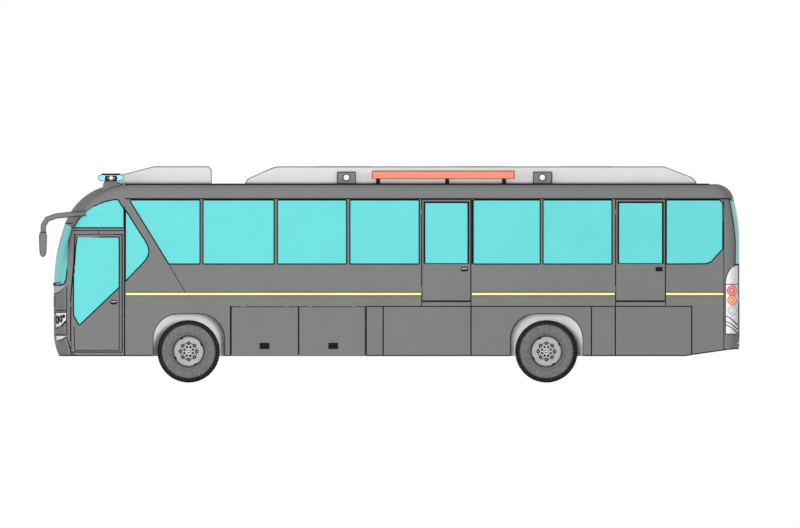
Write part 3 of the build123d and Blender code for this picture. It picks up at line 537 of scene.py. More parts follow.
def beside(points, amount):
    """An open line moved sideways."""
    moved = []
    for i, (x, z) in enumerate(points):
        (x0, z0), (x1, z1) = points[max(0, i - 1)], points[min(len(points) - 1, i + 1)]
        far = sqrt((x1 - x0) ** 2 + (z1 - z0) ** 2)
        moved.append((x + (z1 - z0) / far * amount, z - (x1 - x0) / far * amount))
    return moved


def rect(x0, x1, z0, z1):
    return [(x0, z0), (x1, z0), (x1, z1), (x0, z1)]


def block(x, z, half_wide, half_tall):
    return rect(x - half_wide, x + half_wide, z - half_tall, z + half_tall)


def upright(x, low, high):
    return [(x, low), (x, high)]


def level(z, front, rear):
    return [(front, z), (rear, z)]


def arc(x, z, across, up, angles):
    return [(x + across * cos(radians(a)), z + up * sin(radians(a))) for a in angles]


def oval(x, z, across, up, steps):
    return [(x + across * cos(2 * pi * i / steps), z + up * sin(2 * pi * i / steps))
            for i in range(steps)]


def patch(bm, outline, seen, proud, sink, cell):
    """A closed sheet over the body's surface, inside an outline of that view."""
    flat = bmesh.new()
    flat.faces.new([flat.verts.new((a, b, 0)) for a, b in outline])
    for axis in (0, 1):
        low = min(p[axis] for p in outline)
        high = max(p[axis] for p in outline)
        count = max(1, int((high - low) / cell))
        for i in range(1, count):
            spot, normal = [0, 0, 0], [0, 0, 0]
            spot[axis] = low + (high - low) * i / count
            normal[axis] = 1
            bmesh.ops.bisect_plane(flat, geom=flat.verts[:] + flat.edges[:] + flat.faces[:],
                                   plane_co=spot, plane_no=normal, dist=1e-6)
    front, back = {}, {}
    for vert in flat.verts:
        spot, normal = seen(vert.co.x, vert.co.y)
        front[vert] = bm.verts.new(spot + normal * proud)
        back[vert] = bm.verts.new(spot - normal * sink)
    for face in flat.faces:
        bm.faces.new([front[v] for v in face.verts])
        bm.faces.new([back[v] for v in reversed(face.verts)])
    for edge in flat.edges:
        if edge.is_boundary:
            a, b = edge.verts
            bm.faces.new((front[a], front[b], back[b], back[a]))
    flat.free()


def sheet_piece(name, outlines, seen, look, proud=0.003, cell=0.06, body="bus"):
    """One piece of patches over the body, in outlines of one view."""
    bm = bmesh.new()
    for outline in outlines:
        patch(bm, outline, seen, proud, 0.001, cell)
    keep(bm, name, look, body, 40)


def around(name, body, bm, count, radius, centre, side, look, start=0.0,
           smooth=None):
    """Copies of a shape around a wheel's centre; its Z runs outboard."""
    if side == RIGHT:
        for vert in bm.verts:
            vert.co.z = -vert.co.z
        bmesh.ops.reverse_faces(bm, faces=bm.faces)
    obj = from_bmesh(name, bm, look)
    run_tree(obj, tree_of(ring_tree), Count=count, Radius=float(radius), Centre=tuple(centre),
             Start=float(start), Material=finish(look))
    smooth_below(obj.data, smooth)
    finish_piece(obj, body)


def in_row(name, bm, count, start, step, look):
    obj = from_bmesh(name, bm, look)
    run_tree(obj, tree_of(row_tree), Count=count, Start=tuple(map(float, start)),
             Step=tuple(map(float, step)), Material=finish(look))
    finish_piece(obj)


def at_points(name, bm, points, look, smooth=None, replaces=()):
    shape = from_bmesh(name + "_shape", bm, look)
    obj = put(name, mesh_from(name, points, []))
    run_tree(obj, tree_of(scatter_tree), Shape=shape, Material=finish(look))
    old = shape.data
    bpy.data.objects.remove(shape)
    bpy.data.meshes.remove(old)
    smooth_below(obj.data, smooth)
    return finish_piece(obj, "bus", replaces)


def pad(bm, size, place, lean, crown=0.0, channels=()):
    """A crowned closed cushion: size in metres, place of its middle, lean about Y in degrees."""
    steps, power = 9, 4.0
    half = [s / 2 for s in size]
    turn = Matrix.Rotation(radians(lean), 4, "Y")
    grid = {}

    def vert(a, b, c):
        key = (round(a, 5), round(b, 5), round(c, 5))
        if key not in grid:
            far = (abs(a) ** power + abs(b) ** power + abs(c) ** power) ** (1 / power)
            u, v, w = a / far, b / far, c / far
            swell = 1 + crown * (1 - u * u) * (1 - v * v)
            dip = 1.0 - sum(0.16 * exp(-((v - line) / 0.05) ** 2) for line in channels)
            spot = Vector((u * half[0], v * half[1], w * half[2] * swell * dip))
            grid[key] = bm.verts.new(turn @ spot + Vector(place))
        return grid[key]

    for axis in range(3):
        for sign in (-1, 1):
            for i in range(steps):
                for j in range(steps):
                    corners = []
                    for di, dj in ((0, 0), (1, 0), (1, 1), (0, 1)):
                        spot = [0, 0, 0]
                        spot[axis] = sign
                        spot[(axis + 1) % 3] = -1 + 2 * (i + di) / steps
                        spot[(axis + 2) % 3] = -1 + 2 * (j + dj) / steps
                        corners.append(vert(*spot))
                    bm.faces.new(corners if sign > 0 else corners[::-1])


# Finishes
FINISHES = {}


def scaled(tone, factor):
    return tuple(min(1.0, c * factor) for c in tone)


class Finish(Graph):
    """A material's nodes, its shader's sockets and its object coordinates."""

    def __init__(self, name, **constants):
        self.material = bpy.data.materials.new(name)
        self.material.use_nodes = True
        super().__init__(self.material.node_tree)
        self.shader = self.tree.nodes["Principled BSDF"].inputs
        self.spot = self.add("ShaderNodeTexCoord").outputs["Object"]
        for socket, value in constants.items():
            self.shader[socket.replace("_", " ")].default_value = value

    def grain(self, scale, detail, stretch=None):
        spot = self.spot
        if stretch:
            spot = self.add("ShaderNodeMapping", {"Vector": spot, "Scale": stretch}).outputs[0]
        return self.add("ShaderNodeTexNoise", {"Vector": spot, "Scale": scale, "Detail": detail,
                                               "Roughness": 0.55}).outputs["Fac"]

    def wave(self, scale, direction, **inputs):
        return self.add("ShaderNodeTexWave", {"Vector": self.spot, "Scale": scale, **inputs},
                        bands_direction=direction).outputs["Fac"]

    def between(self, factor, low, high, start=0.3, end=0.7):
        return self.add("ShaderNodeMapRange", {
            "Value": factor, "From Min": start, "From Max": end, "To Min": low,
            "To Max": high}).outputs["Result"]

    def mix(self, factor, first, second):
        node = self.add("ShaderNodeMix", {"Factor": factor}, data_type="RGBA", blend_type="MIX")
        node.clamp_factor = True
        for key, value in (("A_Color", first), ("B_Color", second)):
            socket = next(s for s in node.inputs if s.identifier == key)
            if isinstance(value, bpy.types.NodeSocket):
                self.link(value, socket)
            else:
                socket.default_value = (*value, 1.0)
        return next(s for s in node.outputs if s.identifier == "Result_Color")

    def tone(self, factor, base, low, high):
        """A colour that drifts between a darker and a lighter one."""
        return self.mix(factor, scaled(base, low), scaled(base, high))

    def close(self, tone, rough=None, height=None, strength=0.0, distance=0.001):
        """Links the colour, the roughness and the bump, and gives the material."""
        self.link(tone, self.shader["Base Color"])
        if rough:
            self.link(rough, self.shader["Roughness"])
        if height:
            node = self.add("ShaderNodeBump", {"Height": height, "Strength": strength,
                                               "Distance": distance})
            self.link(node.outputs["Normal"], self.shader["Normal"])
        return self.material


def paint(name, base, rough=0.5, coat=0.1, dust=0.0):
    """Sprayed paint: slight drift of tone, road dust low down, fine peel."""
    look = Finish(name, Coat_Weight=coat, Coat_Roughness=0.3, Specular_IOR_Level=0.03)
    tone = look.tone(look.between(look.grain(1.7, 4.0), 0.0, 1.0), base, 0.97, 1.03)
    height = look.add("ShaderNodeSeparateXYZ", {"Vector": look.spot}).outputs["Z"]
    low = look.between(height, dust, 0.0, 0.35, 1.1)
    patches = look.between(look.grain(9.0, 6.0), 0.1, 1.0)
    tone = look.mix(look.math("MULTIPLY", low, patches), tone, (0.27, 0.245, 0.21))
    return look.close(tone, look.between(patches, rough - 0.04, rough + 0.06, 0.0, 1.0),
                      look.grain(420.0, 2.0), 0.05)


def rubber(name, base, rough=0.8, scale=120.0):
    look = Finish(name, Specular_IOR_Level=0.10)
    fac = look.grain(24.0, 4.0)
    return look.close(look.tone(look.between(fac, 0.0, 1.0), base, 0.8, 1.3),
                      look.between(fac, rough - 0.05, rough + 0.08), look.grain(scale, 3.0), 0.25)


def moulded(name, base, rough=0.5, scale=700.0, strength=0.22):
    """Moulded plastic with a fine pebble grain."""
    look = Finish(name, Specular_IOR_Level=0.15)
    cells = look.add("ShaderNodeTexVoronoi", {"Vector": look.spot, "Scale": scale})
    fac = look.grain(6.0, 4.0)
    return look.close(look.tone(look.between(fac, 0.0, 1.0), base, 0.95, 1.04),
                      look.between(fac, rough - 0.04, rough + 0.05), cells.outputs["Distance"],
                      strength)


def glazing(name, base):
    """Tinted pane, glossy, with a faint film of dust."""
    look = Finish(name, Alpha=0.9, Specular_IOR_Level=0.04)
    film = look.between(look.grain(2.2, 5.0), 0.0, 1.0)
    return look.close(look.tone(film, base, 0.975, 1.02), look.between(film, 0.05, 0.11, 0.0, 1.0))


def lens(name, base, pitch=70.0):
    """Lamp lens with a grid of small prisms."""
    look = Finish(name, Roughness=0.14, Coat_Weight=0.15, Coat_Roughness=0.1)
    ribs = [look.wave(pitch, direction, Distortion=0.0) for direction in "XZ"]
    grid = look.math("MAXIMUM", *ribs)
    return look.close(look.tone(look.between(grid, 0.0, 1.0, 0.0, 1.0), base, 0.93, 1.05), None,
                      grid, 0.25)


def metal(name, base, rough, metallic, scale=90.0):
    look = Finish(name, Metallic=metallic)
    fac = look.grain(scale, 4.0, (1.0, 1.0, 0.2))
    return look.close(look.tone(look.between(fac, 0.0, 1.0), base, 0.93, 1.05),
                      look.between(fac, rough - 0.06, rough + 0.08), fac, 0.06)


def cast(name, base, rough=0.6):
    """Rough casting or painted chassis metal with grime."""
    look = Finish(name)
    fac = look.grain(14.0, 8.0)
    return look.close(look.mix(look.between(fac, 0.0, 0.5), base, (0.09, 0.075, 0.06)),
                      look.between(fac, rough - 0.1, rough + 0.15), look.grain(160.0, 5.0), 0.4)


def ribbed_vinyl(name, base):
    look = Finish(name, Roughness=0.6)
    ribs = look.wave(16.0, "Y")
    tone = look.tone(look.between(look.grain(5.0, 6.0), 0.0, 1.0), base, 0.85, 1.15)
    return look.close(tone, None, ribs, 0.5, 0.002)


def cloth(name, base, second):
    """Woven moquette: two thread directions and small flecks."""
    look = Finish(name, Roughness=0.9, Sheen_Weight=0.35)
    weave = look.math("MULTIPLY", *[look.wave(160.0, d, Distortion=1.2) for d in "YZ"])
    flecks = look.add("ShaderNodeTexVoronoi", {"Vector": look.spot, "Scale": 38.0})
    mark = look.math("LESS_THAN", flecks.outputs["Distance"], 0.18)
    tone = look.tone(look.between(weave, 0.0, 1.0, 0.0, 1.0), base, 0.7, 1.3)
    return look.close(look.mix(mark, tone, second), None, weave, 0.5)


def finish(name):
    """The bus's finishes by name, made when first asked for."""
    colours = bpy.context.scene.bus_colours
    rows = {
        "Body paint": (paint, colours.body, 0.5, 0.0, 0.16),
        "Pod paint": (paint, colours.pods, 0.6, 0.0),
        "Cowl grey": (paint, grey(0.40)),
        "Stripe yellow": (paint, colours.stripe),
        "Stripe edge": (paint, (0.085, 0.085, 0.022)),
        "Window glass": (glazing, colours.glass),
        "Rubber": (rubber, (0.008, 0.008, 0.009), 0.62, 260.0),
        "Tyre side": (rubber, (0.150, 0.150, 0.152), 0.8, 140.0),
        # Tread and shoulder blocks are darker than the sidewall rubber: painted shade of the tyre's
        # rounded shoulder.
        "Tyre tread": (rubber, grey(0.055)),
        "Tyre block": (rubber, grey(0.006)),
        "Nut black": (rubber, grey(0.006), 0.6, 260.0),
        "Lamp housing": (moulded, grey(0.20), 0.6),
        "Trim black": (moulded, (0.011, 0.011, 0.012)),
        "Pale liner": (moulded, grey(0.93), 0.7, 300.0),
        "Bay lining": (moulded, grey(0.22), 0.7, 200.0),
        "White enamel": (moulded, grey(0.86), 0.35, 500.0, 0.05),
        "Red rim": (moulded, (0.72, 0.07, 0.08), 0.4),
        "Amber rim": (moulded, (0.80, 0.17, 0.06), 0.4),
        "Grey rim": (moulded, (0.42, 0.43, 0.50), 0.4),
        "Bar edge": (moulded, (0.08, 0.03, 0.025)),
        "Pod edge": (moulded, grey(0.07)),
        "Dash plastic": (moulded, (0.05, 0.05, 0.055), 0.55, 420.0),
        "Studio floor": (moulded, grey(0.82), 0.9, 3.0, 0.0),
        "Chassis black": (cast, (0.02, 0.02, 0.022)),
        "Engine grey": (cast, (0.10, 0.10, 0.105), 0.55),
        "Wheel disc": (metal, grey(0.50), 0.5, 0.15),
        "Wheel barrel": (metal, grey(0.20), 0.5, 0.3),
        "Bright steel": (metal, (0.72, 0.72, 0.73), 0.25, 0.6),
        "Mirror glass": (metal, (0.78, 0.80, 0.82), 0.06, 1.0, 2.0),
        "Clear lens": (lens, grey(0.88)),
        "Amber lens": (lens, (0.98, 0.55, 0.24)),
        "Blue lens": (lens, (0.30, 0.75, 0.94)),
        "Bar lens": (lens, colours.bar, 24.0),
        "Floor vinyl": (ribbed_vinyl, (0.13, 0.135, 0.15)),
        "Red lens": (lens, (0.92, 0.34, 0.34)),
        "Seat cloth": (cloth, colours.seats, (0.45, 0.33, 0.10)),
    }
    if name not in FINISHES:
        maker, *values = rows[name]
        FINISHES[name] = maker(name, *values)
    return FINISHES[name]


# Operators
class BUS_OT_panels(bpy.types.Operator):
    """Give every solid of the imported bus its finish"""

    bl_idname = "bus.panels"
    bl_label = "Panels and solids"

    def execute(self, context):
        rows = {
            "Body paint": PANELS + ("mirrors",),
            "Window glass": PANES,
            "Floor vinyl": ("floor",),
            "Bay lining": ("luggage_bay",),
            "Chassis black": ("chassis_rails", "cross_members", "tow_sockets", "front_axle",
                              "rear_axle", "knuckle_left", "knuckle_right"),
            "Pale liner": ("wheel_housings",),
            "Engine grey": ("engine",),
            "Clear lens": ("headlamps",),
            "White enamel": TAIL_LAMPS,
            "Pod paint": ("front_roof_pod", "rear_roof_pod"),
            "Blue lens": ("beacon_lenses",),
            "Trim black": ("hinges", "beacon_caps", "bar_posts", "steering_wheel"),
            "Bar lens": ("amber_bars",),
            "Lamp housing": ("work_lamps",),
            "Dash plastic": ("dashboard",),
            "Seat cloth": ("passenger_seats", "driver_seat"),
            "Wheel barrel": tuple("rim_" + wheel for wheel in WHEELS),
            "Tyre side": tuple("tyre_" + wheel for wheel in WHEELS),
        }
        for name, nodes in rows.items():
            for node in nodes:
                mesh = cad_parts[node].data
                mesh.materials.clear()
                mesh.materials.append(finish(name))
        return {"FINISHED"}


class BUS_OT_gaskets(bpy.types.Operator):
    """Rubber around every fixed pane and the panes of the doors"""

    bl_idname = "bus.gaskets"
    bl_label = "Window gaskets"

    def execute(self, context):
        width = context.scene.bus_sizes.gasket
        for label, side in SIDES.items():
            lights = MAIN_LIGHTS + (RIGHT_LIGHTS if side == RIGHT else [])
            outlines = [FIRST_LIGHT, LAST_LIGHT, QUARTER_LINE]
            outlines += [rect(a, b, LIGHT_FOOT, LIGHT_TOP) for a, b in lights]
            if side == RIGHT:
                outlines.append(DRIVER_LIGHT)
            strips(label + "_gaskets", side_paths(outlines, side, True), width, corner=0.018)
            strips(label + "_nose_gasket", side_paths([NOSE_LINE], side, True), width,
                   corner=0.004)
            sheet_piece(label + "_quarter_band", [QUARTER_BAND], seen_from(side), "Window glass",
                        0.002, 0.3)
        reach, steps = 1.05, 30
        across = [-reach + 2 * reach * i / steps for i in range(steps + 1)]
        for end, label, foot, head, edge in (
                (FRONT, "windscreen", 1.625, 2.657, WINDSCREEN_SIDE),
                (REAR, "rear_window", 1.972, LIGHT_TOP, REAR_WINDOW_SIDE)):
            spots = [on_end(y, foot, end) for y in across]
            spots += [on_side(x, z, RIGHT) for x, z in edge]
            spots += [on_end(y, head, end) for y in reversed(across)]
            spots += [on_side(x, z, LEFT) for x, z in reversed(edge)]
            strips(label + "_gasket", [(spots, True)], width, corner=0.01)
        for name, (front, rear) in DOORS.items():
            sides, foot, head = (front + 0.048, rear - 0.046), 1.985, 3.007
            hoop = upright(sides[0], foot, head) + upright(sides[1], head, foot)
            strips(name + "_door_frame", side_paths([hoop], LEFT), 0.030, body="door_" + name,
                   corner=0.002)
            strips(name + "_door_sill", side_paths([level(foot, front + 0.055, rear - 0.048)],
                                                   LEFT), 0.014, body="door_" + name)
        strips("front_door_gasket", side_paths([FRONT_DOOR_LIGHT], LEFT, True), width,
               body="door_front", corner=0.02)
        return {"FINISHED"}


def edge_strip(name, body, side, outline, width):
    """A rubber edge just inside a door's or flap's outline."""
    strips(name, side_paths([inset(outline, width / 2)], side, True), width, 0.004, body=body)


class BUS_OT_seams(bpy.types.Operator):
    """Sealed joints between the panels, rubber edges of doors and flaps"""

    bl_idname = "bus.seams"
    bl_label = "Panel seams"

    def execute(self, context):
        sizes = context.scene.bus_sizes
        seams = [upright(NOSE_SEAM_X, SKIRT_Z, 2.930), upright(5.042, 0.465, BELT_Z),
                 upright(-0.384, SKIRT_Z, 1.262), upright(-2.645, SKIRT_Z, 1.282)]
        seams += [upright(x, SKIRT_Z, BELT_Z) for x in (-0.100, 1.363, 3.370, 3.768)]
        sills = [level(0.452, *ends) for ends in (
            (-5.480, -5.150), (-5.140, -3.945), (-2.727, -2.650), (-0.380, 2.005),
            (3.240, 4.940))]
        sills.append([(4.940, 0.452), (5.055, 0.471), (5.577, 0.546), (5.775, 0.569)])
        rows = (("seams", seams, sizes.seam, 0.005),
                ("belt_seam", [level(BELT_Z, -0.385, 5.052)], 0.016, 0.004),
                ("cantrail", [level(3.064, -4.398, 5.700)], 0.024, 0.006),
                ("tail_seam", [upright(5.577, 0.545, 3.050)], 0.013, 0.005),
                ("slant_line", [[(-3.668, 1.970), (-3.402, 1.512)]], 0.010, 0.004),
                ("sill", sills, 0.019, 0.004))
        for label, side in SIDES.items():
            for name, lines, width, thick in rows:
                strips(label + "_" + name, side_paths(lines, side), width, thick)
            strips(label + "_roof_joint", side_paths([upright(NOSE_SEAM_X, 2.920, 3.300)], side),
                   0.022, 0.004, "Body paint")
            bm = bmesh.new()
            add_box(bm, (-4.404, side * 1.150, 3.270), (5.330, side * 1.163, 3.320))
            soften(bm, 0.002)
            keep(bm, label + "_drip_rail", "Rubber")
            bm = bmesh.new()
            add_box(bm, (-2.640, side * (HALF - 0.013), 1.2668),
                    (-0.390, side * (HALF - 0.045), 1.2772))
            for front, rear in ((-2.648, -2.628), (-1.520, -1.500), (-0.404, -0.384)):
                add_box(bm, (front, side * (HALF - 0.062), 0.462),
                        (rear, side * (HALF - 0.068), 1.270))
            keep(bm, label + "_flap_seal", "Rubber")
            for name, (front, rear) in ARCHES.items():
                arch = upright(front - 0.006, SKIRT_Z, 1.148)
                arch += upright(rear + 0.006, 1.148, SKIRT_Z)
                strips(label + "_" + name + "_arch_edge", side_paths([arch], side), 0.012,
                       corner=0.419)
            for name, (front, rear, _) in FLAPS.items():
                flap = "_" + label + "_" + name
                edge_strip("flap_edge" + flap, "flap" + flap, side,
                           rect(front + 0.006, rear - 0.006, 0.443, 1.266), sizes.edge)
        feet = [upright(x, 1.274, 1.342) for ends in DOORS.values() for x in ends]
        strips("door_foot_seams", side_paths(feet, LEFT), 0.014, 0.004)
        bm = bmesh.new()
        for name, (front, rear) in DOORS.items():
            for x0, x1, near, far, foot, head in (
                    (front - 0.0055, front + 0.0045, 0.013, 0.045, 1.352, 3.050),
                    (front - 0.012, front + 0.012, 0.052, 0.060, 1.340, 3.055),
                    (rear - 0.018, rear + 0.012, 0.052, 0.060, 1.340, 3.055)):
                add_box(bm, (x0, near - HALF, foot), (x1, far - HALF, head))
            edge_strip(name + "_door_edge", "door_" + name, LEFT,
                       rect(front + 0.006, rear - 0.006, 1.356, 3.051), sizes.edge)
            strips(name + "_door_foot", side_paths([level(1.364, front + 0.010, rear - 0.010)],
                                                   LEFT), 0.016, 0.004, body="door_" + name)
        keep(bm, "door_seals", "Rubber")
        edge_strip("front_door_edge", "door_front", LEFT, FRONT_DOOR, sizes.edge)
        sheet_piece("door_pillar", [rect(1.3725, 1.402, 1.982, 3.048)], seen_from(LEFT), "Rubber",
                    0.003, 0.5)
        return {"FINISHED"}


class BUS_OT_stripe(bpy.types.Operator):
    """Waist stripe on both sides, broken at the doors"""

    bl_idname = "bus.stripe"
    bl_label = "Waist stripe"

    def execute(self, context):
        tall = context.scene.bus_sizes.stripe
        runs = {LEFT: [(-4.385, 0.533), (1.380, 3.758), (4.615, 5.568)],
                RIGHT: [(-4.385, 5.568)]}
        for label, side in SIDES.items():
            middle = [level(STRIPE_Z, *run) for run in runs[side]]
            strips("stripe_" + label, side_paths(middle, side), tall, 0.003, "Stripe yellow")
            edges = [level(z, *run) for run in runs[side]
                     for z in (STRIPE_Z - tall / 2 - 0.006, STRIPE_Z + tall / 2 + 0.006)]
            strips("stripe_edges_" + label, side_paths(edges, side), 0.014, 0.004, "Stripe edge")
        return {"FINISHED"}


class BUS_OT_front_trim(bpy.types.Operator):
    """Joint lines of the nose and lines of the front door"""

    bl_idname = "bus.front_trim"
    bl_label = "Nose and front door lines"

    def execute(self, context):
        for label, side in SIDES.items():
            lines = [[(-5.375, 1.600), (-5.375, 1.172)], [(-5.375, 1.015), (-5.372, 0.800)],
                     [(-5.364, 0.745), (-5.330, 0.600), (-5.293, 0.450)],
                     [(-5.290, 0.490), (-5.222, 0.450)]]
            if side == RIGHT:
                lines += [[(-5.312, 0.505), (-5.312, 1.400), (-5.260, 2.000), (-5.243, 2.472)]]
            strips(label + "_nose_seams", side_paths(lines, side), 0.012, 0.004)
            rails = [level(2.535, -5.262, -4.425), upright(-4.843, 2.482, 2.530)]
            strips(label + "_header_lines", side_paths(rails, side), 0.013, 0.004)
            strips(label + "_lamp_line", side_paths([level(1.172, -5.560, -5.380)], side), 0.014,
                   0.004)
        door = [upright(-5.262, 1.640, 1.130), [(-5.255, 0.940), (-5.240, 0.560), (-5.225, 0.520)],
                upright(-4.499, 0.540, 1.580), level(0.540, -5.215, -4.499)]
        strips("front_door_lines", side_paths(door, LEFT), 0.012, 0.004, body="door_front")
        return {"FINISHED"}


def mirrored(profile):
    return [(-along, radius) for along, radius in reversed(profile)]


class BUS_OT_tyres(bpy.types.Operator):
    """Tyres with grooved treads and shoulder blocks"""

    bl_idname = "bus.tyres"
    bl_label = "Tyres"

    def execute(self, context):
        blocks = context.scene.bus_sizes.tread_blocks
        wall = [(0.112, 0.265), (0.124, 0.278), (0.138, 0.308), (0.1455, 0.350), (0.1470, 0.390),
                (0.1462, 0.425), (0.1440, 0.445), (0.138, 0.470), (0.126, 0.492), (0.100, 0.503)]
        carcass = wall + mirrored(wall)
        # The tread band reaches over the sidewall's outer ring; its darker rubber there is painted
        # shade of the rounded shoulder.
        band = [(0.1452, 0.437), (0.1468, 0.441), (0.1455, 0.458), (0.1395, 0.482),
                (0.1310, 0.500), (0.1180, 0.510), (0.1000, 0.5135), (0.097, 0.517)]
        for at in (0.078, 0.028):
            band += [(at + 0.008, 0.518), (at + 0.006, 0.508), (at - 0.006, 0.508),
                     (at - 0.008, 0.5195)]
        under = [(0.128, 0.488), (0.140, 0.462), (0.1435, 0.440)]
        tread = band + mirrored(band) + mirrored(under) + [(-0.100, 0.500), (0.100, 0.500)] + under
        lug = [(0.1466, 0.452), (0.1472, 0.456), (0.1440, 0.480), (0.1360, 0.500),
               (0.1230, 0.5135), (0.1060, 0.5205), (0.0990, 0.5205), (0.0990, 0.506),
               (0.1200, 0.500), (0.1330, 0.482)]
        rings = [[(0.1440, r - 0.006), (0.1474, r), (0.1440, r + 0.006), (0.1400, r)]
                 for r in (0.405, 0.300)]
        parts = (("tyre_walls_", [carcass], "Tyre side", 40),
                 ("tyre_tread_", [tread], "Tyre tread", 30),
                 ("tyre_rings_", rings, "Tyre side", 40))
        for name, (x, side, shifts) in WHEELS.items():
            body = "wheel_" + name
            for part, profiles, look, smooth in parts:
                bm = bmesh.new()
                for shift in shifts:
                    for profile in profiles:
                        add_turned(bm, profile + profile[:1],
                                   (x, side * (TRACK_Y + shift), WHEEL_Z), side, 96)
                replaced = ("tyre_" + name,) if part == "tyre_walls_" else ()
                keep(bm, part + name, look, body, smooth, replaced)
            # Shoulder blocks in near-black rubber are real lugs, and their darkness is part of the
            # painted shade of the shoulder.
            for row, shift in enumerate(shifts):
                bm = bmesh.new()
                for face_side in (1, -1):
                    add_slab(bm, [(r - 0.5, v * face_side) for v, r in lug], -0.0145, 0.0145)
                around("tyre_blocks_" + name + "_" + str(row), body, bm, blocks, 0.5,
                       (x, side * (TRACK_Y + shift), WHEEL_Z), side, "Tyre block",
                       pi / blocks)
        return {"FINISHED"}


class BUS_OT_wheels(bpy.types.Operator):
    """Wheel discs with their nuts, hub bolts and centre plates"""

    bl_idname = "bus.wheels"
    bl_label = "Wheel discs"

    def execute(self, context):
        count = context.scene.bus_sizes.wheel_nuts
        disc = [(0.0650, 0.108), (0.0665, 0.112), (0.0670, 0.222), (0.0650, 0.238),
                (0.0600, 0.241), (0.0600, 0.108), (0.0650, 0.108)]
        hub = [(0.060, 0.0), (0.060, 0.1055), (0.1065, 0.1055), (0.1090, 0.1030), (0.1165, 0.060),
               (0.1175, 0.0)]
        ring = [(0.066, 0.1330), (0.0705, 0.1340), (0.0705, 0.1420), (0.066, 0.1430),
                (0.066, 0.1330)]
        lip = [(0.100, 0.2515), (0.1150, 0.2540), (0.1160, 0.2600), (0.1140, 0.2660),
               (0.105, 0.2680), (0.100, 0.2515)]
        # Name, count, circle, sides, foot and head radius, height, middle, look, slot,
        # first angle and smoothing.
        rows = (("nuts_", count, 0.138, 6, 0.0310, 0.0280, 0.022, 0.078, "Nut black", "trim", 0.0,
                 None),
                ("studs_", count, 0.138, 12, 0.0100, 0.0085, 0.034, 0.080, "Bright steel", "rim",
                 0.0, 40),
                ("hub_bolts_", 8, 0.076, 12, 0.0200, 0.0185, 0.014, 0.1135, "Nut black", "trim",
                 pi / 8, 40))
        for name, (x, side, _) in WHEELS.items():
            body = "wheel_" + name
            centre = (x, side * TRACK_Y, WHEEL_Z)
            bm = bmesh.new()
            add_turned(bm, disc, centre, side, 72)
            add_turned(bm, hub, centre, side, 48)
            keep(bm, "disc_" + name, "Wheel disc", body, 30)
            bm = bmesh.new()
            add_turned(bm, ring, centre, side, 48)
            add_turned(bm, lip, centre, side, 72)
            keep(bm, "disc_rings_" + name, "Nut black", body, 30)
            for kind, copies, circle, sides, foot, head, tall, z, look, slot, start, smooth in rows:
                bm = bmesh.new()
                bmesh.ops.create_cone(bm, cap_ends=True, segments=sides, radius1=foot,
                                      radius2=head, depth=tall,
                                      matrix=Matrix.Translation((0, 0, z)))
                around(kind + name, body, bm, copies, circle, centre, side, look, start,
                       smooth)
            bm = bmesh.new()
            add_box(bm, (-0.012, -0.028, 0.058), (0.010, 0.028, 0.0685))
            soften(bm, 0.005)
            around("notches_" + name, body, bm, 4, 0.240, centre, side, "Nut black",
                   start=radians(28))
            bm = bmesh.new()
            y = side * (TRACK_Y + 0.1165)
            add_slab(bm, oval(x, WHEEL_Z, 0.039, 0.021, 24), y, y + side * 0.004)
            keep(bm, "hub_badge_" + name, "Nut black", body, 40)
            bm = bmesh.new()
            add_slab(bm, block(x, WHEEL_Z, 0.028, 0.009), y + side * 0.002, y + side * 0.007)
            soften(bm, 0.0015)
            keep(bm, "hub_plate_" + name, "White enamel", body, 40)
        return {"FINISHED"}


class BUS_OT_handles(bpy.types.Operator):
    """Door handles and the latches of the luggage flaps, in their pockets"""

    bl_idname = "bus.handles"
    bl_label = "Handles and latches"

    def execute(self, context):
        rows = [(name, DOORS[name][1] - 0.1095, 1.8925) for name in DOORS]
        for name, x, z in rows + [("front", -4.590, 1.3425)]:
            bm = bmesh.new()
            outline = oval(x, z, 0.061, 0.040, 28) if name == "front" else block(
                x, z, 0.0585, 0.0375)
            add_slab(bm, outline, -HALF - 0.004, -HALF + 0.0115)
            soften(bm, 0.0001 if name == "front" else 0.016, 4, crossing(bm))
            keep(bm, name + "_door_handle_bezel", "Trim black", "door_" + name, 40)
            bm = bmesh.new()
            add_box(bm, (x - 0.044, -HALF - 0.012, z - 0.002),
                    (x + 0.044, -HALF - 0.002, z + 0.020))
            soften(bm, 0.004, 3)
            # The grip is a real pull; its light grey on the front and mid doors is a painted
            # highlight, while the rear door's grip stays black.
            keep(bm, name + "_door_handle_grip", "Trim black" if name == "rear" else "Cowl grey",
                 "door_" + name, 40)
        for label, side in SIDES.items():
            for end, (_, _, x) in FLAPS.items():
                flap = "_" + label + "_" + end
                bm = bmesh.new()
                add_slab(bm, rect(x - 0.0825, x + 0.0825, 0.5605, 0.6655), side * (HALF + 0.003),
                         side * (HALF - 0.0115))
                soften(bm, 0.018, 4, crossing(bm))
                keep(bm, "latch" + flap, "Trim black", "flap" + flap, 40)
                bm = bmesh.new()
                add_box(bm, (x - 0.055, side * (HALF + 0.001), 0.600),
                        (x + 0.055, side * (HALF + 0.011), 0.628))
                soften(bm, 0.004, 3)
                keep(bm, "latch_grip" + flap, "Rubber", "flap" + flap, 40)
        return {"FINISHED"}


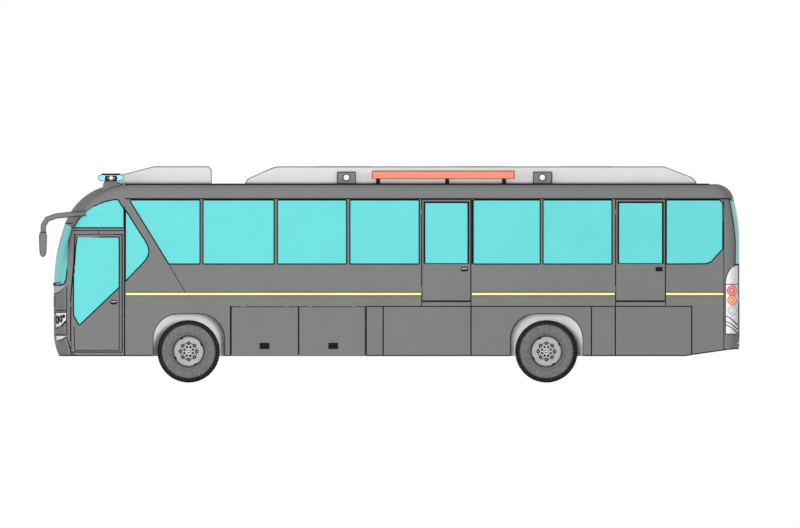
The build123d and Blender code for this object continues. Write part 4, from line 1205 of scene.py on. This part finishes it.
class BUS_OT_front_lamps(bpy.types.Operator):
    """Headlamps, fog lamps, cowl panel, front grille and wipers"""

    bl_idname = "bus.front_lamps"
    bl_label = "Lamps and face of the nose"

    def execute(self, context):
        ovals = [(-5.530, 1.049, 0.017, 0.062), (-5.472, 1.065, 0.018, 0.052),
                 (-5.422, 1.108, 0.012, 0.022)]
        edges = [[(-5.378, 1.158), (-5.378, 1.045), (-5.470, 0.945), (-5.560, 0.905)],
                 [(-5.378, 1.045), (-5.400, 1.000), (-5.480, 0.935)],
                 level(0.796, -5.378, -5.560), level(0.789, -5.378, -5.545),
                 [(-5.378, 0.770), (-5.450, 0.722), (-5.530, 0.700)]]
        bumper = (1.206, 1.174)
        for label, side in SIDES.items():
            rings = [oval(*row, 24) for row in ovals]
            strips("headlamp_rings_" + label, side_paths(rings, side, True), 0.014, 0.026,
                   "Trim black")
            cores = [oval(x, z, a * 0.55, b * 0.62, 16) for x, z, a, b in ovals[:2]]
            sheet_piece("headlamp_cores_" + label, cores, seen_from(side), "Cowl grey",
                        cell=0.02)
            strips("lamp_edges_" + label, side_paths(edges, side), 0.014, 0.010)
            across = [end_path(level(z, side * 0.62, side * 0.02), FRONT) for z in bumper]
            across += side_paths([level(z, -5.535, -5.378) for z in bumper], side)
            strips("bumper_lines_" + label, across, 0.012, 0.004)
            spots, closed = end_path([(side * 0.08, 1.652), (side * 0.98, 1.668)], FRONT)
            blade = [(p + n * 0.010, n) for p, n in spots]
            strips("wiper_blade_" + label, [(blade, closed)], 0.016, 0.014)
            spots, closed = end_path([(side * 0.12, 1.622), (side * 0.52, 1.658)], FRONT)
            arm = [(p + n * (0.008 + 0.010 * i / (len(spots) - 1)), n)
                   for i, (p, n) in enumerate(spots)]
            strips("wiper_arm_" + label, [(arm, closed)], 0.020, 0.010, "Trim black")
        half_edge = [(1.150, 1.570), (0.888, 1.511), (0.457, 1.483)]
        edge = half_edge + [(0.0, 1.476)] + [(-y, z) for y, z in reversed(half_edge)]
        cowl = [(-1.205, 1.655), (-1.120, 1.612), (0.0, 1.610), (1.120, 1.612), (1.205, 1.655)]
        sheet_piece("cowl_panel", [cowl + edge], seen_at(FRONT), "Cowl grey", cell=0.08)
        strips("cowl_edge", [end_path(edge, FRONT)], 0.012, 0.008)
        sheet_piece("grille_back", [rect(-0.46, 0.46, 1.262, 1.445)], seen_at(FRONT),
                    "Trim black", 0.004)
        slats = [end_path(level(z, -0.44, 0.44), FRONT) for z in
                 (1.285, 1.318, 1.351, 1.384, 1.417)]
        strips("grille_slats", slats, 0.012, 0.022, "Cowl grey")
        return {"FINISHED"}


class BUS_OT_tail_lamps(bpy.types.Operator):
    """White rear lamp panels with round red, amber and clear lamps"""

    bl_idname = "bus.tail_lamps"
    bl_label = "Rear lamps"

    def execute(self, context):
        lamps = (("red", 5.714, 1.535, 0.083, "Red"), ("amber", 5.716, 1.377, 0.079, "Amber"),
                 ("clear", 5.719, 1.205, 0.075, "Clear"))
        foot, shoulder, front = 0.812, 1.640, 5.6045

        def bow(angles):
            return arc(5.806, shoulder, -0.2015, 0.3215, angles)

        swoops = [[(x0 + (5.803 - x0) * i / 24,
                    high + (low - high) * (0.55 * i / 24 + 0.45 * (i / 24) ** 2))
                   for i in range(25)]
                  for x0, high, low in ((5.618, 1.114, 0.962), (5.612, 1.023, 0.893),
                                        (5.612, 0.965, 0.833))]
        lines = [upright(5.6055, shoulder, 0.815), level(foot, 5.600, 5.745),
                 level(shoulder, 5.600, 5.745)]
        quarter = upright(front, 1.9615, shoulder) + bow(range(8, 90, 8)) + [(5.800, 1.9615)]
        for label, side in SIDES.items():
            panel = [(side * y, z) for y, z in rect(0.722, 1.236, foot, 1.952)]
            sheet_piece("lamp_panel_" + label, [panel], seen_at(REAR), "White enamel",
                        0.0015)
            for name, x, z, radius, tint in lamps:
                sheet_piece("tail_" + name + "_" + label, [oval(x, z, radius, radius, 48)],
                            seen_from(side), tint + " lens", 0.004, 0.008)
                rings = [oval(x, z, radius - 0.004, radius - 0.004, 64),
                         oval(x - 0.008, z, radius * 0.42, radius * 0.5, 40)]
                strips("tail_ring_" + name + "_" + label, side_paths(rings, side, True), 0.013,
                       0.014, ("Grey" if name == "clear" else tint) + " rim")
            sheet_piece("lamp_shoulder_" + label, [quarter], seen_from(side), "Body paint",
                        cell=0.008)
            curves = [bow(range(0, 90, 4))] + swoops + lines
            strips("tail_lines_" + label, side_paths(curves, side, step=0.008), 0.012, 0.012)
            across = [end_path(level(z, side * 1.240, side * 0.730), REAR)
                      for z in (foot, shoulder)]
            strips("tail_panel_lines_" + label, across, 0.012, 0.006)
        return {"FINISHED"}


def beacon(label, side):
    """The blue lens on its foot, its core behind it, its eye and marks."""
    middle = side * 0.985
    face = middle + side * 0.1195
    outline = arc(-4.4740, 3.4160, 0.046, 0.047, range(-80, 91, 17))
    outline += arc(-4.8000, 3.4160, -0.046, 0.047, range(90, -81, -17))
    outline += level(3.3665, -4.735, -4.540)
    bm = bmesh.new()
    add_slab(bm, outline, middle - 0.118, middle + 0.118)
    rim = [e for e in bm.edges if abs(e.verts[0].co.y - e.verts[1].co.y) < 1e-5]
    soften(bm, 0.012, 3, rim)
    keep(bm, "beacon_lens_" + label, "Blue lens", "bus", 40,
         ("beacon_lenses",) if side == LEFT else ())
    strips("beacon_lens_edge_" + label, [flat_path(outline, middle + side * 0.118, side)], 0.009,
           0.003, "Trim black")
    bm = bmesh.new()
    add_slab(bm, [(-4.735, 3.366), (-4.540, 3.366), (-4.528, 3.405), (-4.545, 3.453),
                  (-4.728, 3.453), (-4.745, 3.405)], middle - 0.1195, middle + 0.1195)
    soften(bm, 0.006)
    keep(bm, "beacon_core_" + label, "Trim black", "bus", 40)
    skirt = [(-4.772, 3.290), (-4.762, 3.322), (-4.738, 3.364), (-4.540, 3.364),
             (-4.513, 3.326), (-4.450, 3.300), (-4.450, 3.250), (-4.772, 3.180)]
    bm = bmesh.new()
    add_slab(bm, skirt, side * 0.900, side * 1.035)
    keep(bm, "beacon_foot_" + label, "Body paint")
    strips("beacon_foot_lines_" + label, [flat_line(skirt[1:6], side * 1.035, side)], 0.010,
           0.004, "Trim black")
    eye = (-4.633, face, 3.412)
    bm = bmesh.new()
    add_turned(bm, [(0.0, 0.0), (0.0, 0.027), (0.006, 0.025), (0.009, 0.0)], eye, side, 28)
    keep(bm, "beacon_eye_" + label, "White enamel", "bus", 40)
    bm = bmesh.new()
    add_turned(bm, [(-0.002, 0.030), (0.005, 0.030), (0.007, 0.035), (0.005, 0.040),
                    (-0.002, 0.040), (-0.002, 0.030)], eye, side, 28)
    for front, rear in ((-4.694, -4.680), (-4.586, -4.572)):
        add_box(bm, (front, face, 3.402), (rear, face + side * 0.004, 3.424))
    keep(bm, "beacon_marks_" + label, "Cowl grey", "bus", 40)


def work_lamp(label, side, name, x):
    y, z = side * 1.010, 3.421
    bm = bmesh.new()
    add_turned(bm, [(-0.002, 0.0), (-0.002, 0.050), (0.006, 0.048), (0.012, 0.032),
                    (0.014, 0.0)], (x, y, z), side)
    keep(bm, "work_lens_" + name + "_" + label, "White enamel", "bus", 40)
    bm = bmesh.new()
    add_turned(bm, [(-0.002, 0.050), (0.010, 0.050), (0.012, 0.055), (0.010, 0.061),
                    (-0.002, 0.063), (-0.002, 0.050)], (x, y, z), side)
    keep(bm, "work_rim_" + name + "_" + label, "Trim black", "bus", 40)
    strips("work_edges_" + name + "_" + label,
           [flat_path(rect(x - 0.150, x + 0.150, 3.318, 3.507), y, side)], 0.011, 0.004,
           "Trim black", corner=0.02)


class BUS_OT_roof_gear(bpy.types.Operator):
    """Beacons, side bars, work lamps and the pods' edges and grilles"""

    bl_idname = "bus.roof_gear"
    bl_label = "Roof equipment"

    def execute(self, context):
        for label, side in SIDES.items():
            beacon(label, side)
            strips("bar_edges_" + label,
                   [flat_path(rect(-0.279, 2.077, 3.404, 3.522), side * 1.0, side)], 0.012, 0.004,
                   "Bar edge")
            bm = bmesh.new()
            add_box(bm, (-0.002, side * 0.999, 3.412), (0.002, side * 1.0015, 3.514))
            in_row("bar_ribs_" + label, bm, 23, (-0.181, 0, 0), (0.098, 0, 0), "Bar lens")
            for name, x in (("front", -0.712), ("rear", 2.553)):
                work_lamp(label, side, name, x)
        pods = (("front", 0.800, [(-4.512, 3.316), (-4.466, 3.460), (-3.914, 3.600),
                                  (-3.014, 3.600), (-2.965, 3.552), (-2.965, 3.316)]),
                ("rear", 0.850, [(-2.404, 3.316), (-2.346, 3.398), (-1.950, 3.574),
                                 (-1.863, 3.598), (4.582, 3.598), (5.034, 3.421),
                                 (5.090, 3.371), (5.119, 3.316)]))
        for name, reach, outline in pods:
            strips(name + "_pod_edges",
                   [flat_line(outline, side * reach, side) for side in SIDES.values()], 0.012,
                   0.004, "Pod edge")
        for i, (front, rear) in enumerate(((-1.20, -0.30), (1.10, 1.90), (2.90, 3.70))):
            bm = bmesh.new()
            add_box(bm, (front, -0.011, 3.6045), (rear, 0.011, 3.6068))
            in_row("pod_grille_" + str(i), bm, 19, (0, -0.45, 0), (0, 0.05, 0), "Trim black")
        return {"FINISHED"}


class BUS_OT_mirrors(bpy.types.Operator):
    """Edges, joint line and glass of the body-coloured mirrors and their arms"""

    bl_idname = "bus.mirror_parts"
    bl_label = "Mirrors"

    def execute(self, context):
        # The arm's middle line in the side view, and how far it stands off the body.
        line = [(-5.055, 2.824), (-5.307, 2.805), (-5.552, 2.778), (-5.700, 2.725),
                (-5.764, 2.620), (-5.764, 2.505)]
        out = [0.010, 0.070, 0.085, 0.085, 0.085, 0.085]
        head = [(-5.815, 2.500), (-5.832, 2.450), (-5.823, 2.182), (-5.808, 2.126),
                (-5.788, 2.103), (-5.752, 2.103), (-5.732, 2.126), (-5.717, 2.182),
                (-5.708, 2.450), (-5.721, 2.500)]
        pane = [(1.245, 2.200, -5.7112), (1.425, 2.200, -5.7112), (1.425, 2.440, -5.7033),
                (1.245, 2.440, -5.7033)]
        for label, side in SIDES.items():
            paths = []
            for away in (0.040, -0.040):
                spots = []
                for (x, z), (edge_x, edge_z), reach in zip(line, beside(line, away), out):
                    spots.append((Vector((edge_x, side * (HALF + reach + 0.020), edge_z)),
                                  Vector((edge_x - x, side * 0.02, edge_z - z)).normalized()))
                paths.append((spots, False))
            strips("mirror_arm_edges_" + label, paths, 0.012, 0.006)
            strips("mirror_edges_" + label, [flat_path(head, side * 1.4435, side)], 0.010, 0.003)
            bm = bmesh.new()
            add_box(bm, (-5.8255, side * 1.2225, 2.4950), (-5.7095, side * 1.4425, 2.5075))
            soften(bm, 0.004)
            keep(bm, "mirror_joint_" + label, "Rubber", "bus", 40)
            bm = bmesh.new()
            face, back = [[bm.verts.new((x + depth, side * y, z)) for y, z, x in pane]
                          for depth in (0.001, -0.006)]
            bm.faces.new(face)
            bm.faces.new(back)
            for i in range(4):
                j = (i + 1) % 4
                bm.faces.new((face[i], face[j], back[j], back[i]))
            keep(bm, "mirror_glass_" + label, "Mirror glass")
        return {"FINISHED"}


class BUS_OT_seats(bpy.types.Operator):
    """Padded double seats on pedestals, and the driver's seat"""

    bl_idname = "bus.seats"
    bl_label = "Seats"

    def execute(self, context):
        spots = [(x, side * SEAT_Y, SEAT_FLOOR) for side in SIDES.values() for x in SEAT_ROWS[side]]
        pads, legs = bmesh.new(), bmesh.new()
        flutes = (-0.45, 0.0, 0.45)
        for y in (-0.205, 0.205):
            pad(pads, (0.455, 0.385, 0.105), (0.240, y, 0.400), -2.0, 0.16, flutes)
            pad(pads, (0.100, 0.385, 0.560), (0.500, y, 0.735), 11.5, 0.0, flutes)
            pad(pads, (0.085, 0.290, 0.140), (0.580, y, 1.075), 11.5)
        add_box(legs, (0.130, -0.160, 0.0), (0.350, -0.120, 0.345))
        add_box(legs, (0.130, 0.120, 0.0), (0.350, 0.160, 0.345))
        add_box(legs, (0.115, -0.200, 0.0), (0.365, -0.080, 0.012))
        add_box(legs, (0.115, 0.080, 0.0), (0.365, 0.200, 0.012))
        add_box(legs, (0.030, -0.400, 0.328), (0.470, 0.400, 0.350))
        for y in (-0.405, 0.405):
            add_box(legs, (0.420, y - 0.008, 0.335), (0.470, y + 0.008, 0.640))
            add_box(legs, (0.160, y - 0.008, 0.600), (0.470, y + 0.008, 0.640))
        soften(legs, 0.004)
        covers = at_points("passenger_pads", pads, spots, "Seat cloth", 60,
                           ("passenger_seats",))
        at_points("passenger_seat_frames", legs, spots, "Dash plastic")
        x, y, z = DRIVER_SEAT
        bm = bmesh.new()
        pad(bm, (0.400, 0.470, 0.110), (x + 0.205, y, z + 0.405), -2.0, 0.16, (-0.5, 0.5))
        pad(bm, (0.105, 0.460, 0.560), (x + 0.415, y, z + 0.735), 10.0, 0.0, (-0.5, 0.5))
        pad(bm, (0.085, 0.280, 0.130), (x + 0.482, y, z + 1.070), 10.0)
        seat = keep(bm, "driver_pads", "Seat cloth", "bus", 60, ("driver_seat",))
        bm = bmesh.new()
        for front, rear, reach, foot, top in (
                (0.110, 0.300, 0.12, 0.0, 0.20), (0.080, 0.340, 0.17, 0.20, 0.26),
                (0.020, 0.400, 0.225, 0.322, 0.350), (0.130, 0.290, 0.10, 0.25, 0.33)):
            add_box(bm, (x + front, y - reach, z + foot), (x + rear, y + reach, z + top))
        soften(bm, 0.006)
        keep(bm, "driver_seat_base", "Dash plastic")
        return {"FINISHED"}


class BUS_OT_engine_grille(bpy.types.Operator):
    """Louvres over the engine lid"""

    bl_idname = "bus.engine_grille"
    bl_label = "Engine louvres"

    def execute(self, context):
        count = context.scene.bus_sizes.louvres
        low, high, reach, lid = 0.765, 1.300, 0.560, "lid_engine"
        mouth = rect(-reach, reach, low, high)
        sheet_piece("louvre_back", [mouth], seen_at(REAR), "Nut black", 0.001, 0.08, lid)
        step = (high - low) / count
        paths = [end_path(level(low + step * (i + 0.5), -reach + 0.015, reach - 0.015), REAR,
                          step=0.08) for i in range(count)]
        strips("louvres", paths, step * 0.62, 0.008, "Body paint", lid)
        strips("louvre_frame", [end_path(mouth, REAR, True, 0.08)], 0.018, 0.008, "Body paint",
               lid)
        edge = end_path(rect(-0.690, 0.690, 0.669, 1.391), REAR, True, 0.08)
        strips("engine_lid_edge", [edge], 0.008, 0.004, body=lid)
        return {"FINISHED"}


class BUS_OT_cab(bpy.types.Operator):
    """Steering wheel, instrument binnacle and step edges"""

    bl_idname = "bus.cab"
    bl_label = "Cab and steps"

    def execute(self, context):
        bm = bmesh.new()
        rim = [(along, radius) for along, radius in arc(0.014, 0.209, 0.014, 0.016,
                                                        range(0, 360, 30))]
        add_turned(bm, rim + rim[:1], steps=64, axis="Z")
        add_turned(bm, [(-0.006, 0.0), (-0.006, 0.052), (0.012, 0.058), (0.024, 0.045),
                        (0.027, 0.0)], axis="Z")
        add_turned(bm, [(-0.235, 0.0), (-0.235, 0.024), (-0.006, 0.024), (-0.006, 0.0)],
                   steps=24, axis="Z")
        for i in range(4):
            turn = Matrix.Rotation(pi / 2 * i, 4, "Z")
            for vert in add_box(bm, (0.045, -0.014, 0.004), (0.200, 0.014, 0.018)):
                vert.co = turn @ vert.co
        lean = Matrix.Rotation(radians(STEERING_LEAN_DEGREES), 4, "Y")
        bmesh.ops.transform(bm, matrix=Matrix.Translation(STEERING_HUB) @ lean, verts=bm.verts)
        keep(bm, "steering_wheel_rim", "Dash plastic", "bus", 45, ("steering_wheel",))
        bm = bmesh.new()
        add_slab(bm, [(-5.280, 1.545), (-5.150, 1.500), (-5.135, 1.555), (-5.180, 1.600),
                      (-5.270, 1.615)], 0.400, 0.840)
        soften(bm, 0.008)
        keep(bm, "binnacle", "Dash plastic", "bus", 45)
        bm = bmesh.new()
        for y0, y1, x0, x1, z in ((-0.902, -0.862, -5.230, -4.445, 0.7405),
                                  (-0.602, -0.562, -5.190, -4.205, 0.9405),
                                  (-1.188, -1.150, -5.225, -4.445, 0.5405)):
            add_box(bm, (x0, y0, z - 0.004), (x1, y1, z + 0.0025))
        add_box(bm, (-4.198, -0.315, 1.1345), (-4.160, 0.315, 1.1380))
        add_box(bm, (-3.945, -0.315, 1.3295), (-3.905, 0.315, 1.3330))
        keep(bm, "step_edges", "Stripe yellow")
        return {"FINISHED"}


class BUS_OT_stage(bpy.types.Operator):
    """Pale floor, white surroundings, soft lights and the side-on camera"""

    bl_idname = "bus.stage"
    bl_label = "Stage"

    def execute(self, context):
        scene = context.scene
        reach = 60.0
        corners = [(x, y, 0) for x, y in rect(-reach, reach, -reach, reach)]
        floor = put("studio_floor", mesh_from("studio_floor", corners, [(0, 1, 2, 3)]),
                    finish("Studio floor"))
        world = bpy.data.worlds.new("Studio")
        scene.world = world
        world.use_nodes = True
        graph = Graph(world.node_tree)
        back = world.node_tree.nodes["Background"]
        back.inputs["Color"].default_value = (1, 1, 1, 1)
        seen = graph.add("ShaderNodeLightPath").outputs["Is Camera Ray"]
        power = graph.add("ShaderNodeMapRange", {"Value": seen, "To Min": 0.62, "To Max": 1.0})
        graph.link(power.outputs["Result"], back.inputs["Strength"])
        middle = Vector((0, 0, 1.6))
        for name, place, size, watts in (
                ("key", (0.2, -27, 1.6), 3.5, 3950.0), ("fill", (6, 20, 10), 12.0, 2200.0),
                ("front", (-20, -8, 4), 8.0, 900.0)):
            light = bpy.data.lights.new(name, "AREA")
            light.size = size
            light.energy = watts
            lamp = put(name, light)
            lamp.location = place
            lamp.visible_glossy = False
            lamp.rotation_euler = (middle - Vector(place)).to_track_quat("-Z", "Y").to_euler()
        camera = bpy.data.cameras.new("side_camera")
        camera.type = "ORTHO"
        camera.ortho_scale = PICTURE_WIDE
        camera.clip_end = 200.0
        viewer = put("side_camera", camera)
        viewer.location = (PICTURE_MIDDLE[0], -30.0, PICTURE_MIDDLE[1])
        viewer.rotation_euler = (pi / 2, 0, 0)
        scene.camera = viewer
        scene.view_settings.view_transform = "Standard"
        scene.view_settings.look = "None"
        return {"FINISHED"}


TOOLS = (BUS_OT_panels, BUS_OT_gaskets, BUS_OT_seams, BUS_OT_stripe, BUS_OT_front_trim,
         BUS_OT_tyres, BUS_OT_wheels, BUS_OT_handles, BUS_OT_front_lamps, BUS_OT_tail_lamps,
         BUS_OT_roof_gear, BUS_OT_mirrors, BUS_OT_seats, BUS_OT_engine_grille, BUS_OT_cab,
         BUS_OT_stage)


class BUS_PT_tools(bpy.types.Panel):
    """Lists the tools that dress the bus"""

    bl_idname = "BUS_PT_tools"
    bl_label = "Airport bus"
    bl_space_type = "VIEW_3D"
    bl_region_type = "UI"
    bl_category = "Bus"

    def draw(self, context):
        column = self.layout.column(align=True)
        for group in (context.scene.bus_colours, context.scene.bus_sizes):
            for name in group.__annotations__:
                column.prop(group, name)
        for tool in TOOLS:
            column.operator(tool.bl_idname)


CLASSES = (BusColours, BusSizes) + TOOLS + (BUS_PT_tools,)


def register():
    for item in CLASSES:
        bpy.utils.register_class(item)
    bpy.types.Scene.bus_colours = bpy.props.PointerProperty(type=BusColours)
    bpy.types.Scene.bus_sizes = bpy.props.PointerProperty(type=BusSizes)


def unregister():
    del bpy.types.Scene.bus_colours
    del bpy.types.Scene.bus_sizes
    for item in reversed(CLASSES):
        bpy.utils.unregister_class(item)


def main():
    register()
    for tool in TOOLS:
        group, name = tool.bl_idname.split(".")
        getattr(getattr(bpy.ops, group), name)()


if __name__ == "__main__":
    main()
